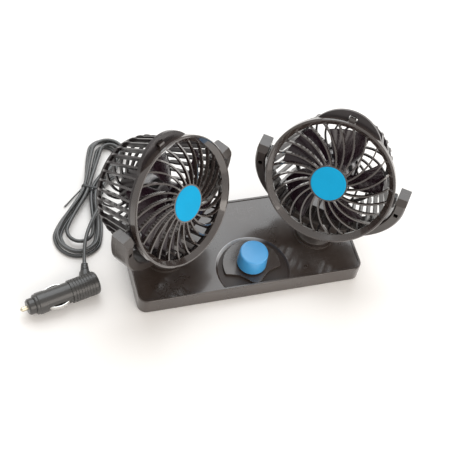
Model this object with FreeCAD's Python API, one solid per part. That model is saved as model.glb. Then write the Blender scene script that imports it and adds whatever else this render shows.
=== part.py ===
import FreeCAD, Part
import math
import os

# Dual head car fan: two tilting, swivelling fan heads on one flat base, with a lighter plug.
# Millimetres, +Z up. The origin is the middle of the base on the surface that it stands on,
# +X runs along the base to the user's right and +Y away from the user.

V = FreeCAD.Vector
AXIS_X = V(1, 0, 0)
AXIS_Y = V(0, 1, 0)
AXIS_Z = V(0, 0, 1)

# Fits shared by all pieces
RUN_FIT = 0.06
SEAT_FIT = 0.1
AXIAL_PLAY = 0.15

# How far a cut runs past a face, a moulded piece runs into its neighbour, and a rib into its ring
OVERCUT = 1.0
JOIN = 0.5
RIB_ROOT = 0.8
TOLERANCE = 1e-4

# Base
BASE_LENGTH = 220.0
BASE_WIDTH = 99.5
BASE_CORNER_R = 9.0
PAD_STANDOFF = 1.0
COVER_HEIGHT = 18.2
COVER_WALL = 2.2
COVER_TOP_WALL = 2.6
RIM_WIDTH = 2.4
RIM_ROUND = 1.2
TRAY_DEPTH = 0.8
FLOOR_PLATE_T = 2.4
PAD_RECESS = 1.0
PAD_INSET = 15.0
PAD_CORNER_R = 6.0
BASE_SCREW_INSET = 9.0
BASE_SCREW_BOSS_R = 3.8

# Small screws
SCREW_SHANK_R = 1.3
SCREW_HEAD_R = 2.5
SCREW_HEAD_H = 1.2
SCREW_GRIP = 7.0
PILOT_SPARE = 1.0

# Speed control
CONTROL_X = 4.0
CONTROL_FROM_FRONT = 24.75
POCKET_R = 35.6
POCKET_AHEAD = 6.2
POCKET_DEPTH = 2.6
POCKET_SLOPE = 2.2
POCKET_FLOOR_T = 2.0
DIAL_R = 27.6
DIAL_AHEAD = 1.5
DIAL_RISE = 2.8
DIAL_WING_DROP = 5.8
DIAL_SHOULDER_X = 14.5
DIAL_SHOULDER_DROP = 9.5
DIAL_NUB_HALF = 7.0
DIAL_NUB_FLANK = 16.0
DIAL_NUB_DROP = 20.3
COLLAR_R = 12.4
COLLAR_H = 1.6
KNOB_TOP_R = 13.4
KNOB_BASE_R = 14.2
KNOB_H = 17.6
KNOB_ROUND = 1.6
KNOB_WALL = 2.4
KNOB_LIFT = 0.6
KNOB_STEM_R = 5.2
SWITCH_SIDE = 17.0
SWITCH_H = 6.5
SWITCH_BUSH_R = 4.0
SWITCH_BUSH_PROUD = 1.0
SWITCH_NUT_R = 6.5
SWITCH_NUT_H = 2.0
SWITCH_NUT_SIDES = 6
SWITCH_SHAFT_R = 3.0
SWITCH_SHAFT_REACH = 10.0
SWITCH_SHAFT_SUNK = 4.0
BOARD_LENGTH = 44.0
BOARD_WIDTH = 26.0
BOARD_T = 1.6
BOARD_CORNER_R = 1.0

# Swivels and yokes
SWIVEL_SPACING = 151.0
TOE_IN_DEG = 36.6
PIVOT_ABOVE_RIM = 89.0
SWIVEL_BOSS_R = 21.0
SWIVEL_BOSS_H = 2.0
SPIGOT_R = 9.0
NECK_FLANGE_R = 19.0
NECK_FLANGE_H = 2.6
NECK_WAIST_R = 11.0
NECK_WAIST_RISE = 5.0
NECK_TOP_R = 9.2
SWIVEL_WASHER_R = 13.0
SWIVEL_WASHER_T = 1.2
SWIVEL_SCREW_R = 2.0
SWIVEL_SCREW_HEAD_R = 4.0
SWIVEL_SCREW_HEAD_H = 2.2
SWIVEL_SCREW_GRIP = 11.0
YOKE_CLEARANCE = 2.5
YOKE_THICK = 10.0
YOKE_DEPTH = 19.0
YOKE_ARM_RISE = 11.0
YOKE_WALL = 2.0
YOKE_SEAM_FROM_REAR = 6.2
YOKE_BEVEL = 1.4
ARM_END_BEVEL = 5.0
YOKE_SCREW_BOSS_R = 2.8
YOKE_SCREW_ANGLES = (200.0, 247.0, 293.0, 340.0)
WINDOW_W = 4.0
WINDOW_H = 5.0
WINDOW_DROP = 6.0
PIN_R = 2.4
PIN_HEAD_R = 3.6
PIN_HEAD_H = 2.0
PIN_REACH = 6.0
PIVOT_BOSS_R = 7.0
PIVOT_BOSS_L = 15.8
PIVOT_BOSS_GAP = 1.0
PIVOT_WASHER_R = 5.5
PIVOT_WASHER_T = 0.6

# Fan heads, measured from the tilt axis along the air flow
TILT_UP_DEG = 27.3
BEZEL_R = 60.3
BEZEL_FRONT = 14.4
BEZEL_BACK = 8.0
BEZEL_LIP = 2.0
BEZEL_EDGE = 0.8
BEZEL_WALL = 1.8
BEZEL_OPENING_INSET = 6.3
BEZEL_INNER_FRONT = 10.4
SWIRL_RIBS = 25
SWIRL_RIB_T = 1.4
SWIRL_SWEEP_DEG = 29.0
SWIRL_RIB_DEPTH = 3.4
DOME_BULGE = 1.4
HUB_R = 17.6
HUB_FRONT = 18.8
HUB_T = 3.6
BADGE_R = 16.3
BADGE_T = 1.4
BADGE_PROUD = 0.6
BADGE_ROUND = 0.8
FLANGE_INSET = 1.1
FLANGE_W = 3.6
FLANGE_T = 3.6
TAB_RISE = 8.7
TAB_HALF_ANGLE_DEG = 32.0
LATCH_RISE = 2.9
LATCH_SLOT_W = 8.0
LATCH_SLOT_H = 4.0
LATCH_W = 6.0
LATCH_T = 1.5
LATCH_BARB = 0.9
SLATS = 36
SLAT_T = 1.9
SLAT_DEPTH = 4.2
SLAT_ROOT = 0.6
CAGE_INSET = 1.0
CAGE_SHOULDER_R = 49.6
CAGE_SHOULDER_BACK = 37.5
CAGE_BACK = 49.5
CAGE_BACK_T = 2.8
CAGE_CORNER_FULLNESS = 0.7
BACK_RING_R = 46.2
BACK_RING_W = 3.4
BACK_RIBS = 18
BACK_RIB_T = 1.8
BACK_SWEEP_DEG = -40.0
MOTOR_R = 16.5
MOTOR_L = 29.0
MOTOR_BOSS_R = 4.5
MOTOR_BOSS_L = 2.0
MOTOR_EDGE = 1.2
MOTOR_CUP_WALL = 2.0
MOTOR_CUP_L = 17.0
MOTOR_CUP_FLOOR = 2.0
MOTOR_SCREW_SPACING = 16.0
MOTOR_SCREW_GRIP = 5.0
SHAFT_R = 1.15
SHAFT_SUNK = 12.0
IMPELLER_BLADES = 5
IMPELLER_TIP_R = 47.5
IMPELLER_HUB_R = 14.5
IMPELLER_HUB_L = 14.0
IMPELLER_HUB_WALL = 1.8
IMPELLER_STEM_R = 3.4
IMPELLER_FRONT = 5.0
BLADE_T = 1.6
BLADE_MIDPLANE = -3.5
BLADE_STATIONS = (
    # radius, chord, pitch in degrees, skew in degrees
    (13.4, 17.5, 42.0, 0.0),
    (31.0, 35.0, 32.0, 9.0),
    (52.0, 43.0, 24.0, 20.0),
)

# Cord and its gland
CORD_R = 1.8
CORD_FACETS = 8
ARC_SHARE = 0.45
GLAND_X = -45.0
GLAND_Z = 9.5
GLAND_NECK_R = 3.6
GLAND_FLANGE_R = 5.2
GLAND_FLANGE_T = 1.6
GLAND_BOOT_L = 12.0
GLAND_BOOT_ROOT_R = 4.0
GLAND_BOOT_END_R = 2.7
GLAND_INSIDE_L = 4.0
GLAND_LIP_R = 4.6
GLAND_RUN = 11.0
LEAD_WAYPOINTS = (V(-48.5, 91.0, 6.0), V(-61.0, 104.0, 2.6), V(-80.0, 112.0, 2.0), V(-98.5, 109.0, 2.6))
TAIL_WAYPOINTS = (V(-122.9, 69.4, 13.2), V(-134.5, 53.0, 13.0), V(-143.6, 36.0, 12.4))

# Hank of cord on the floor, tied at its waist
HANK_LOOPS = 4
HANK_KNOTS = 6
HANK_CLIMB_TURNS = 1 / 3
HANK_GAP = 0.9
HANK_WAIST = V(-126.0, 95.0, 0.0)
HANK_ANGLE_DEG = 65.5
HANK_LOWER_L = 79.0
HANK_LOWER_HALF = 23.0
HANK_UPPER_L = 66.0
HANK_UPPER_HALF = 17.0
HANK_WAIST_HALF = 9.7
HANK_WAIST_LIFT = 1.5
HANK_RUN_IN = 7.0
HANK_RUN_OUT = 6.0
TIE_T = 1.0
TIE_W = 2.4
TIE_CLEAR = 0.3
TIE_TAIL_R = 0.5
TIE_TAIL_L = 27.0
TIE_TAIL_HEADING = V(-1.0, 0.46, -0.07)

# Lighter plug lying on the floor, measured along its axis from the tip
PLUG_TIP = V(-217.1, -32.0, 0.0)
PLUG_ANGLE_DEG = 13.1
PLUG_TIP_R = 2.2
PLUG_TIP_DOME = 1.4
PLUG_TIP_OUT = 6.8
PLUG_TIP_TRAVEL = 2.5
PLUG_TIP_FLANGE_R = 3.6
PLUG_TIP_FLANGE_T = 1.5
PLUG_NOSE_R = 7.6
PLUG_NOSE_WALL = 2.0
PLUG_NOSE_BEVEL_R = 6.4
PLUG_NOSE_BEVEL_L = 1.6
PLUG_NOSE_END = 13.6
PLUG_NOSE_SPIGOT_R = 6.2
PLUG_NOSE_SPIGOT_L = 5.0
PLUG_BARREL_NECK_R = 9.6
PLUG_BARREL_NECK_L = 2.6
PLUG_BARREL_R = 10.3
PLUG_BARREL_EDGE = 0.8
PLUG_LAND_L = 7.2
PLUG_LAND_STEP = 0.4
PLUG_BARREL_END = 49.0
PLUG_BARREL_SPIGOT_R = 7.5
PLUG_BARREL_SPIGOT_L = 6.0
PLUG_HANDLE_R = 11.0
PLUG_HANDLE_END = 76.5
PLUG_HANDLE_ROUND = 3.0
PLUG_GRIP_GROOVES = 8
PLUG_GRIP_PITCH = 2.7
PLUG_GRIP_FROM = 2.4
PLUG_GRIP_GROOVE_W = 1.0
PLUG_GRIP_DEPTH = 0.6
PLUG_OUTLET_AT = 64.5
PLUG_OUTLET_LEAN_DEG = 22.0
PLUG_OUTLET_R = 5.4
PLUG_OUTLET_ROOT_R = 6.9
PLUG_OUTLET_L = 14.5
PLUG_RELIEF_L = 10.0
PLUG_RELIEF_ROOT_R = 4.4
PLUG_RELIEF_END_R = 3.2
PLUG_RELIEF_RUN = 12.0
PLUG_RELIEF_RINGS = 4
PLUG_RELIEF_GROOVE_W = 1.1
PLUG_RELIEF_GROOVE_DEPTH = 0.6
FUSE_R = 3.0
FUSE_L = 25.0
CONTACT_W = 4.5
CONTACT_T = 0.7
CONTACT_FROM = 25.2
CONTACT_L = 20.5
CONTACT_PROUD = 1.6
CONTACT_SUNK = 1.4

# Levels and places worked out from the sizes above
Z_COVER = PAD_STANDOFF
Z_RIM = PAD_STANDOFF + COVER_HEIGHT
Z_TRAY = Z_RIM - TRAY_DEPTH
Z_CEILING = Z_TRAY - COVER_TOP_WALL
Z_POCKET = Z_TRAY - POCKET_DEPTH
Z_POCKET_UNDER = Z_POCKET - POCKET_FLOOR_T
Z_DIAL = Z_POCKET + DIAL_RISE
Z_COLLAR = Z_DIAL + COLLAR_H
Z_PLATE_TOP = PAD_STANDOFF + FLOOR_PLATE_T
Z_BOSS = Z_TRAY + SWIVEL_BOSS_H
PIVOT_Z = Z_RIM + PIVOT_ABOVE_RIM
YOKE_INNER_R = BEZEL_R + YOKE_CLEARANCE
YOKE_OUTER_R = YOKE_INNER_R + YOKE_THICK
YOKE_MID_R = YOKE_INNER_R + YOKE_THICK / 2
YOKE_FRONT_Y = -YOKE_DEPTH / 2
YOKE_REAR_Y = YOKE_DEPTH / 2
YOKE_SEAM_Y = YOKE_REAR_Y - YOKE_SEAM_FROM_REAR
PIVOT_BOSS_FACE = YOKE_INNER_R - PIVOT_BOSS_GAP
PIVOT_BOSS_ROOT = PIVOT_BOSS_FACE - PIVOT_BOSS_L
BEZEL_INNER_R = BEZEL_R - BEZEL_OPENING_INSET
FLANGE_R = BEZEL_R - FLANGE_INSET
FLANGE_INNER_R = FLANGE_R - FLANGE_W
TAB_TOP_R = BEZEL_R + TAB_RISE
LATCH_SLOT_R = BEZEL_R + LATCH_RISE
CAGE_FRONT_R = FLANGE_R - CAGE_INSET
MOTOR_BACK = -CAGE_BACK + MOTOR_CUP_FLOOR
MOTOR_FRONT = MOTOR_BACK + MOTOR_L
FLANGE_BACK = BEZEL_BACK - FLANGE_T
CORD_D = 2 * CORD_R
CORD_PITCH = CORD_D + HANK_GAP
PLUG_AXIS_Z = PLUG_HANDLE_R
SWITCH_TOP = Z_POCKET_UNDER
SWITCH_BOTTOM = SWITCH_TOP - SWITCH_H
BUSH_TOP = Z_COLLAR + SWITCH_NUT_H + SWITCH_BUSH_PROUD
CONTROL = V(CONTROL_X, CONTROL_FROM_FRONT - BASE_WIDTH / 2, 0)


def save(shape, node):
    """Write one node's solids to its own file."""
    shape.exportStep("parts/" + node + ".step")


def closed_wire(points):
    return Part.makePolygon(list(points) + [points[0]])


def turned(profile):
    """Solid of revolution about Z from a closed (radius, height) outline."""
    outline = closed_wire([V(radius, 0, height) for radius, height in profile])
    return Part.Face(outline).revolve(V(0, 0, 0), AXIS_Z, 360)


def disc(radius, low, high):
    return Part.makeCylinder(radius, high - low, V(0, 0, low))


def hoop(outer, inner, low, high):
    return disc(outer, low, high).cut(disc(inner, low - OVERCUT, high + OVERCUT))


def block(x, y, z):
    """Box between the low and high value of each axis."""
    return Part.makeBox(x[1] - x[0], y[1] - y[0], z[1] - z[0], V(x[0], y[0], z[0]))


def slab(length, width, radius, low, high):
    """Rounded rectangle about the origin, from one height to another."""
    plain = block((-length / 2, length / 2), (-width / 2, width / 2), (low, high))
    return plain.makeFillet(radius, edges_along(plain, AXIS_Z))


def fused(pieces):
    return pieces[0].multiFuse(pieces[1:]).removeSplitter()


def moved(shape, offset):
    copy = shape.copy()
    copy.translate(offset)
    return copy


def turned_about_z(shape, angle):
    copy = shape.copy()
    copy.rotate(V(0, 0, 0), AXIS_Z, angle)
    return copy


def ring_of(shape, count):
    return [turned_about_z(shape, index * 360.0 / count) for index in range(count)]


def placed(shape, placement):
    copy = shape.copy()
    copy.Placement = placement.multiply(copy.Placement)
    return copy


def edges_along(shape, axis):
    """Edges that run the same way as the axis."""
    found = []
    for edge in shape.Edges:
        if edge.tangentAt(edge.FirstParameter).cross(axis).Length < TOLERANCE:
            found.append(edge)
    return found


def edges_at(shape, axis, value):
    """Edges that lie wholly in the plane where the axis has this value."""
    found = []
    for edge in shape.Edges:
        if all(abs(vertex.Point.dot(axis) - value) < TOLERANCE for vertex in edge.Vertexes):
            if abs(edge.CenterOfMass.dot(axis) - value) < TOLERANCE:
                found.append(edge)
    return found


def four_corners(x, y):
    return [V(sx * x, sy * y, 0) for sx in (-1, 1) for sy in (-1, 1)]


# Base


BASE_SCREW_PLACES = four_corners(BASE_LENGTH / 2 - BASE_SCREW_INSET, BASE_WIDTH / 2 - BASE_SCREW_INSET)
SWIVEL_PLACES = [V(-SWIVEL_SPACING / 2, 0, 0), V(SWIVEL_SPACING / 2, 0, 0)]


def tray_outline(low, high):
    inset = 2 * RIM_WIDTH
    return slab(BASE_LENGTH - inset, BASE_WIDTH - inset, BASE_CORNER_R - RIM_WIDTH, low, high)


def dial_plate():
    """Raised plate under the knob: round back, two wings and a rounded nub in front."""
    wing_x = math.sqrt(DIAL_R**2 - DIAL_WING_DROP**2)
    wing_right = V(wing_x, -DIAL_WING_DROP, 0)
    wing_left = V(-wing_x, -DIAL_WING_DROP, 0)
    shoulder_right = V(DIAL_SHOULDER_X, -DIAL_SHOULDER_DROP, 0)
    shoulder_left = V(-DIAL_SHOULDER_X, -DIAL_SHOULDER_DROP, 0)
    flank_right = V(DIAL_NUB_HALF, -DIAL_NUB_FLANK, 0)
    flank_left = V(-DIAL_NUB_HALF, -DIAL_NUB_FLANK, 0)
    outline = Part.Wire([
        Part.Arc(wing_right, V(0, DIAL_R, 0), wing_left).toShape(),
        Part.LineSegment(wing_left, shoulder_left).toShape(),
        Part.LineSegment(shoulder_left, flank_left).toShape(),
        Part.Arc(flank_left, V(0, -DIAL_NUB_DROP, 0), flank_right).toShape(),
        Part.LineSegment(flank_right, shoulder_right).toShape(),
        Part.LineSegment(shoulder_right, wing_right).toShape(),
    ])
    plate = Part.Face(outline).extrude(V(0, 0, Z_DIAL - Z_POCKET))
    return moved(plate, CONTROL + V(0, -DIAL_AHEAD, Z_POCKET))


def control_pocket():
    """Sunk round the dial plate: a cone that the tray's front edge cuts off."""
    above = Z_RIM + OVERCUT
    floor_r = POCKET_R - POCKET_SLOPE
    cone = turned([(0, Z_POCKET), (floor_r, Z_POCKET), (POCKET_R, Z_TRAY), (POCKET_R, above), (0, above)])
    return moved(cone, CONTROL + V(0, -POCKET_AHEAD, 0)).common(tray_outline(Z_POCKET, above))


def pocket_underside(hollow):
    """Wall below the pocket, inside the cover."""
    under = disc(POCKET_R + POCKET_FLOOR_T, Z_POCKET_UNDER, Z_CEILING)
    return moved(under, CONTROL + V(0, -POCKET_AHEAD, 0)).common(hollow)


def base_cover():
    body = slab(BASE_LENGTH, BASE_WIDTH, BASE_CORNER_R, Z_COVER, Z_RIM)
    body = body.makeFillet(RIM_ROUND, edges_at(body, AXIS_Z, Z_RIM))
    inset = 2 * COVER_WALL
    hollow = slab(
        BASE_LENGTH - inset, BASE_WIDTH - inset, BASE_CORNER_R - COVER_WALL, Z_COVER - OVERCUT, Z_CEILING
    )
    body = fused([body.cut(hollow), pocket_underside(hollow)])
    body = body.cut([tray_outline(Z_TRAY, Z_RIM + OVERCUT), control_pocket()])
    added = [dial_plate(), moved(disc(COLLAR_R, Z_POCKET, Z_COLLAR), CONTROL)]
    removed = [moved(disc(SWITCH_BUSH_R + SEAT_FIT, Z_POCKET_UNDER - OVERCUT, Z_COLLAR + OVERCUT), CONTROL)]
    for place in SWIVEL_PLACES:
        added.append(moved(disc(SWIVEL_BOSS_R, Z_CEILING, Z_BOSS), place))
        removed.append(moved(disc(SPIGOT_R + RUN_FIT, Z_CEILING - OVERCUT, Z_BOSS + OVERCUT), place))
    for place in BASE_SCREW_PLACES:
        added.append(moved(disc(BASE_SCREW_BOSS_R, Z_PLATE_TOP, Z_CEILING + JOIN), place))
        pilot = disc(SCREW_SHANK_R + RUN_FIT, Z_PLATE_TOP - OVERCUT, Z_PLATE_TOP + SCREW_GRIP)
        removed.append(moved(pilot, place))
    wall_middle = BASE_WIDTH / 2 - COVER_WALL / 2
    removed.append(Part.makeCylinder(
        GLAND_NECK_R + SEAT_FIT, 2 * COVER_WALL, V(GLAND_X, wall_middle - COVER_WALL, GLAND_Z), AXIS_Y
    ))
    return fused([body] + added).cut(removed)


def base_plate():
    inset = 2 * (COVER_WALL + SEAT_FIT)
    plate = slab(
        BASE_LENGTH - inset, BASE_WIDTH - inset, BASE_CORNER_R - COVER_WALL, Z_COVER, Z_PLATE_TOP
    )
    removed = []
    for place in BASE_SCREW_PLACES:
        removed.append(moved(disc(SCREW_SHANK_R + SEAT_FIT, 0, Z_PLATE_TOP + OVERCUT), place))
        removed.append(moved(disc(SCREW_HEAD_R + SEAT_FIT, 0, Z_COVER + SCREW_HEAD_H), place))
    removed.append(pad_slab(SEAT_FIT, 0, Z_COVER + PAD_RECESS))
    return plate.cut(removed)


def screw(grip):
    """Pan head screw along +Z: the head's bearing face is at the origin."""
    head = disc(SCREW_HEAD_R, -SCREW_HEAD_H, 0)
    return head.fuse(disc(SCREW_SHANK_R, 0, grip)).removeSplitter()


def base_screws():
    seat = Z_COVER + SCREW_HEAD_H
    reach = Z_PLATE_TOP - seat + SCREW_GRIP - PILOT_SPARE
    return Part.makeCompound([moved(screw(reach), place + V(0, 0, seat)) for place in BASE_SCREW_PLACES])


def pad_slab(spare, low, high):
    """The pad's outline, grown by a spare margin on every side."""
    grow = 2 * (spare - PAD_INSET)
    return slab(BASE_LENGTH + grow, BASE_WIDTH + grow, PAD_CORNER_R + spare, low, high)


def base_pad():
    """Non-slip rubber pad let into the underside, on which the base rests."""
    return pad_slab(0, 0, Z_COVER + PAD_RECESS)


# Speed control


def speed_switch():
    side = SWITCH_SIDE / 2
    body = block((-side, side), (-side, side), (SWITCH_BOTTOM, SWITCH_TOP))
    body = fused([body, disc(SWITCH_BUSH_R, SWITCH_TOP, BUSH_TOP)])
    bore = disc(SWITCH_SHAFT_R + RUN_FIT, SWITCH_TOP - SWITCH_SHAFT_SUNK, BUSH_TOP + OVERCUT)
    return moved(body.cut(bore), CONTROL)


def switch_nut():
    corners = []
    for index in range(SWITCH_NUT_SIDES):
        angle = 2 * math.pi * index / SWITCH_NUT_SIDES
        corners.append(V(SWITCH_NUT_R * math.cos(angle), SWITCH_NUT_R * math.sin(angle), Z_COLLAR))
    blank = Part.Face(closed_wire(corners)).extrude(V(0, 0, SWITCH_NUT_H))
    bore = disc(SWITCH_BUSH_R + RUN_FIT, Z_COLLAR - OVERCUT, Z_COLLAR + SWITCH_NUT_H + OVERCUT)
    return moved(blank.cut(bore), CONTROL)


def control_board():
    board = slab(BOARD_LENGTH, BOARD_WIDTH, BOARD_CORNER_R, SWITCH_BOTTOM - BOARD_T, SWITCH_BOTTOM)
    return moved(board, CONTROL)


def switch_shaft():
    low = SWITCH_TOP - SWITCH_SHAFT_SUNK + AXIAL_PLAY
    return moved(disc(SWITCH_SHAFT_R, low, BUSH_TOP + SWITCH_SHAFT_REACH), CONTROL)


def speed_knob():
    """Drafted cap with a rounded top, a hollow skirt and a stem on the shaft."""
    low = Z_COLLAR + KNOB_LIFT
    high = low + KNOB_H
    shell = turned([(0, low), (KNOB_BASE_R, low), (KNOB_TOP_R, high), (0, high)])
    shell = shell.makeFillet(KNOB_ROUND, edges_at(shell, AXIS_Z, high))
    hollow = disc(KNOB_TOP_R - KNOB_WALL, low - OVERCUT, high - KNOB_WALL)
    stem = disc(KNOB_STEM_R, BUSH_TOP + AXIAL_PLAY + SEAT_FIT, high - KNOB_WALL + JOIN)
    bore = disc(SWITCH_SHAFT_R + RUN_FIT, low - OVERCUT, BUSH_TOP + SWITCH_SHAFT_REACH)
    return moved(fused([shell.cut(hollow), stem]).cut(bore), CONTROL)


# Swivels and yokes, each drawn straight ahead on the swivel axis


def swivel_neck():
    """Turned post: spigot through the base, flange on its boss, and a waist up to the yoke."""
    foot = Z_BOSS + AXIAL_PLAY
    top = PIVOT_Z - math.sqrt(YOKE_OUTER_R**2 - NECK_WAIST_R**2)
    spigot_end = Z_CEILING - AXIAL_PLAY
    post = turned([
        (0, spigot_end), (SPIGOT_R, spigot_end), (SPIGOT_R, foot), (NECK_FLANGE_R, foot),
        (NECK_FLANGE_R, foot + NECK_FLANGE_H), (NECK_WAIST_R, foot + NECK_FLANGE_H + NECK_WAIST_RISE),
        (NECK_TOP_R, top), (0, top),
    ])
    seat = Part.makeCylinder(YOKE_OUTER_R, YOKE_DEPTH * 2, V(0, -YOKE_DEPTH, PIVOT_Z), AXIS_Y)
    pilot = disc(SWIVEL_SCREW_R + RUN_FIT, spigot_end - OVERCUT, spigot_end + SWIVEL_SCREW_GRIP + OVERCUT)
    return post.cut([seat, pilot])


def swivel_washer():
    top = Z_CEILING - AXIAL_PLAY
    return hoop(SWIVEL_WASHER_R, SWIVEL_SCREW_R + SEAT_FIT, top - SWIVEL_WASHER_T, top)


def swivel_screw():
    seat = Z_CEILING - AXIAL_PLAY - SWIVEL_WASHER_T
    head = disc(SWIVEL_SCREW_HEAD_R, seat - SWIVEL_SCREW_HEAD_H, seat)
    return head.fuse(disc(SWIVEL_SCREW_R, seat, seat + SWIVEL_SCREW_GRIP)).removeSplitter()


def yoke_arc(inset, front, rear):
    """C-shaped bar round the head, drawn in by an inset on every side of its outline."""
    inner = YOKE_INNER_R + inset
    outer = YOKE_OUTER_R - inset
    top = YOKE_ARM_RISE - inset
    outline = Part.Wire([
        Part.Arc(V(outer, 0, 0), V(0, 0, -outer), V(-outer, 0, 0)).toShape(),
        Part.LineSegment(V(-outer, 0, 0), V(-outer, 0, top)).toShape(),
        Part.LineSegment(V(-outer, 0, top), V(-inner, 0, top)).toShape(),
        Part.LineSegment(V(-inner, 0, top), V(-inner, 0, 0)).toShape(),
        Part.Arc(V(-inner, 0, 0), V(0, 0, -inner), V(inner, 0, 0)).toShape(),
        Part.LineSegment(V(inner, 0, 0), V(inner, 0, top)).toShape(),
        Part.LineSegment(V(inner, 0, top), V(outer, 0, top)).toShape(),
        Part.LineSegment(V(outer, 0, top), V(outer, 0, 0)).toShape(),
    ])
    bar = Part.Face(outline).extrude(V(0, rear - front, 0))
    return moved(bar, V(0, front, PIVOT_Z))


def arm_end_bevel(size):
    """What is taken off the front of the arms' tops, by its reach down and to the rear."""
    front = YOKE_FRONT_Y - OVERCUT
    top = PIVOT_Z + YOKE_ARM_RISE + OVERCUT
    reach = size + 2 * OVERCUT
    outline = closed_wire([V(0, front, top), V(0, front + reach, top), V(0, front, top - reach)])
    return moved(Part.Face(outline).extrude(V(2 * YOKE_OUTER_R, 0, 0)), V(-YOKE_OUTER_R, 0, 0))


def yoke_screw_places():
    places = []
    for degrees in YOKE_SCREW_ANGLES:
        angle = math.radians(degrees)
        places.append(V(YOKE_MID_R * math.cos(angle), 0, PIVOT_Z + YOKE_MID_R * math.sin(angle)))
    return places


def post_along_y(radius, place, front, rear):
    return Part.makeCylinder(radius, rear - front, V(place.x, front, place.z), AXIS_Y)


def pivot_holes():
    reach = YOKE_INNER_R + YOKE_WALL + OVERCUT
    return Part.makeCylinder(PIN_R + SEAT_FIT, 2 * reach, V(-reach, 0, PIVOT_Z), AXIS_X)


def yoke_front_shell():
    shell = yoke_arc(0, YOKE_FRONT_Y, YOKE_SEAM_Y)
    shell = shell.makeChamfer(YOKE_BEVEL, edges_at(shell, AXIS_Y, YOKE_FRONT_Y))
    inner_wall = YOKE_FRONT_Y + YOKE_WALL
    hollow = yoke_arc(YOKE_WALL, inner_wall, YOKE_SEAM_Y + OVERCUT)
    hollow = hollow.cut(arm_end_bevel(ARM_END_BEVEL + math.sqrt(2) * YOKE_WALL))
    shell = shell.cut([arm_end_bevel(ARM_END_BEVEL), hollow])
    posts = [
        post_along_y(YOKE_SCREW_BOSS_R, place, inner_wall - JOIN, YOKE_SEAM_Y)
        for place in yoke_screw_places()
    ]
    removed = [
        post_along_y(SCREW_SHANK_R + RUN_FIT, place, inner_wall, YOKE_SEAM_Y + OVERCUT)
        for place in yoke_screw_places()
    ]
    window_top = PIVOT_Z - WINDOW_DROP
    for side in (-1, 1):
        inner = side * (YOKE_INNER_R + YOKE_WALL)
        x = sorted((inner, inner + side * WINDOW_W))
        y = (YOKE_FRONT_Y - OVERCUT, inner_wall + OVERCUT)
        removed.append(block(x, y, (window_top - WINDOW_H, window_top)))
    return fused([shell] + posts).cut(removed + [pivot_holes()])


def yoke_rear_shell():
    shell = yoke_arc(0, YOKE_SEAM_Y, YOKE_REAR_Y)
    shell = shell.makeChamfer(YOKE_BEVEL, edges_at(shell, AXIS_Y, YOKE_REAR_Y))
    shell = shell.cut(yoke_arc(YOKE_WALL, YOKE_SEAM_Y - OVERCUT, YOKE_REAR_Y - YOKE_WALL))
    inner_wall = YOKE_REAR_Y - YOKE_WALL
    posts = [
        post_along_y(YOKE_SCREW_BOSS_R, place, YOKE_SEAM_Y, inner_wall + JOIN)
        for place in yoke_screw_places()
    ]
    removed = []
    behind = YOKE_REAR_Y + OVERCUT
    for place in yoke_screw_places():
        removed.append(post_along_y(SCREW_SHANK_R + SEAT_FIT, place, YOKE_SEAM_Y - OVERCUT, behind))
        removed.append(post_along_y(SCREW_HEAD_R + SEAT_FIT, place, YOKE_REAR_Y - SCREW_HEAD_H, behind))
    return fused([shell] + posts).cut(removed + [pivot_holes()])


def yoke_screws():
    """Screws from behind: each head is sunk flush in the rear shell."""
    seat = YOKE_REAR_Y - SCREW_HEAD_H
    reach = seat - YOKE_SEAM_Y + SCREW_GRIP
    drive = FreeCAD.Rotation(AXIS_X, 90)
    screws = []
    for place in yoke_screw_places():
        screws.append(placed(screw(reach), FreeCAD.Placement(V(place.x, seat, place.z), drive)))
    return Part.makeCompound(screws)


def along_x(side, radius, start, end):
    """Cylinder on the tilt axis between two distances from the swivel axis, on one side."""
    return Part.makeCylinder(radius, end - start, V(side * start, 0, PIVOT_Z), AXIS_X * side)


def pivot_pins():
    wall = YOKE_INNER_R + YOKE_WALL
    pins = []
    for side in (-1, 1):
        shank = along_x(side, PIN_R, YOKE_INNER_R - PIN_REACH, wall)
        pins.append(shank.fuse(along_x(side, PIN_HEAD_R, wall, wall + PIN_HEAD_H)).removeSplitter())
    return Part.makeCompound(pins)


def pivot_washers():
    start = PIVOT_BOSS_FACE + SEAT_FIT / 2
    end = start + PIVOT_WASHER_T
    rings = []
    for side in (-1, 1):
        blank = along_x(side, PIVOT_WASHER_R, start, end)
        rings.append(blank.cut(along_x(side, PIN_R + SEAT_FIT, start - OVERCUT, end + OVERCUT)))
    return Part.makeCompound(rings)


# Fan heads, drawn with the air flow along +Z and the tilt axis along X through the origin


def swirl_strip(inner, outer, sweep, thickness, low, high):
    """Rib in plan: a thin curved strip from one radius to another that sweeps through an angle."""
    middle = (inner + outer) / 2

    def on_curve(radius, side):
        share = (radius - inner) / (outer - inner)
        angle = math.radians(sweep * share)
        lean = math.atan(radius * math.radians(sweep) / (outer - inner))
        across = angle + lean + math.pi / 2
        half = side * thickness / 2
        return V(
            radius * math.cos(angle) + half * math.cos(across),
            radius * math.sin(angle) + half * math.sin(across),
            low,
        )

    right = [on_curve(radius, -1) for radius in (inner, middle, outer)]
    left = [on_curve(radius, 1) for radius in (inner, middle, outer)]
    outline = Part.Wire([
        Part.Arc(right[0], right[1], right[2]).toShape(),
        Part.LineSegment(right[2], left[2]).toShape(),
        Part.Arc(left[2], left[1], left[0]).toShape(),
        Part.LineSegment(left[0], right[0]).toShape(),
    ])
    return Part.Face(outline).extrude(V(0, 0, high - low))


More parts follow.
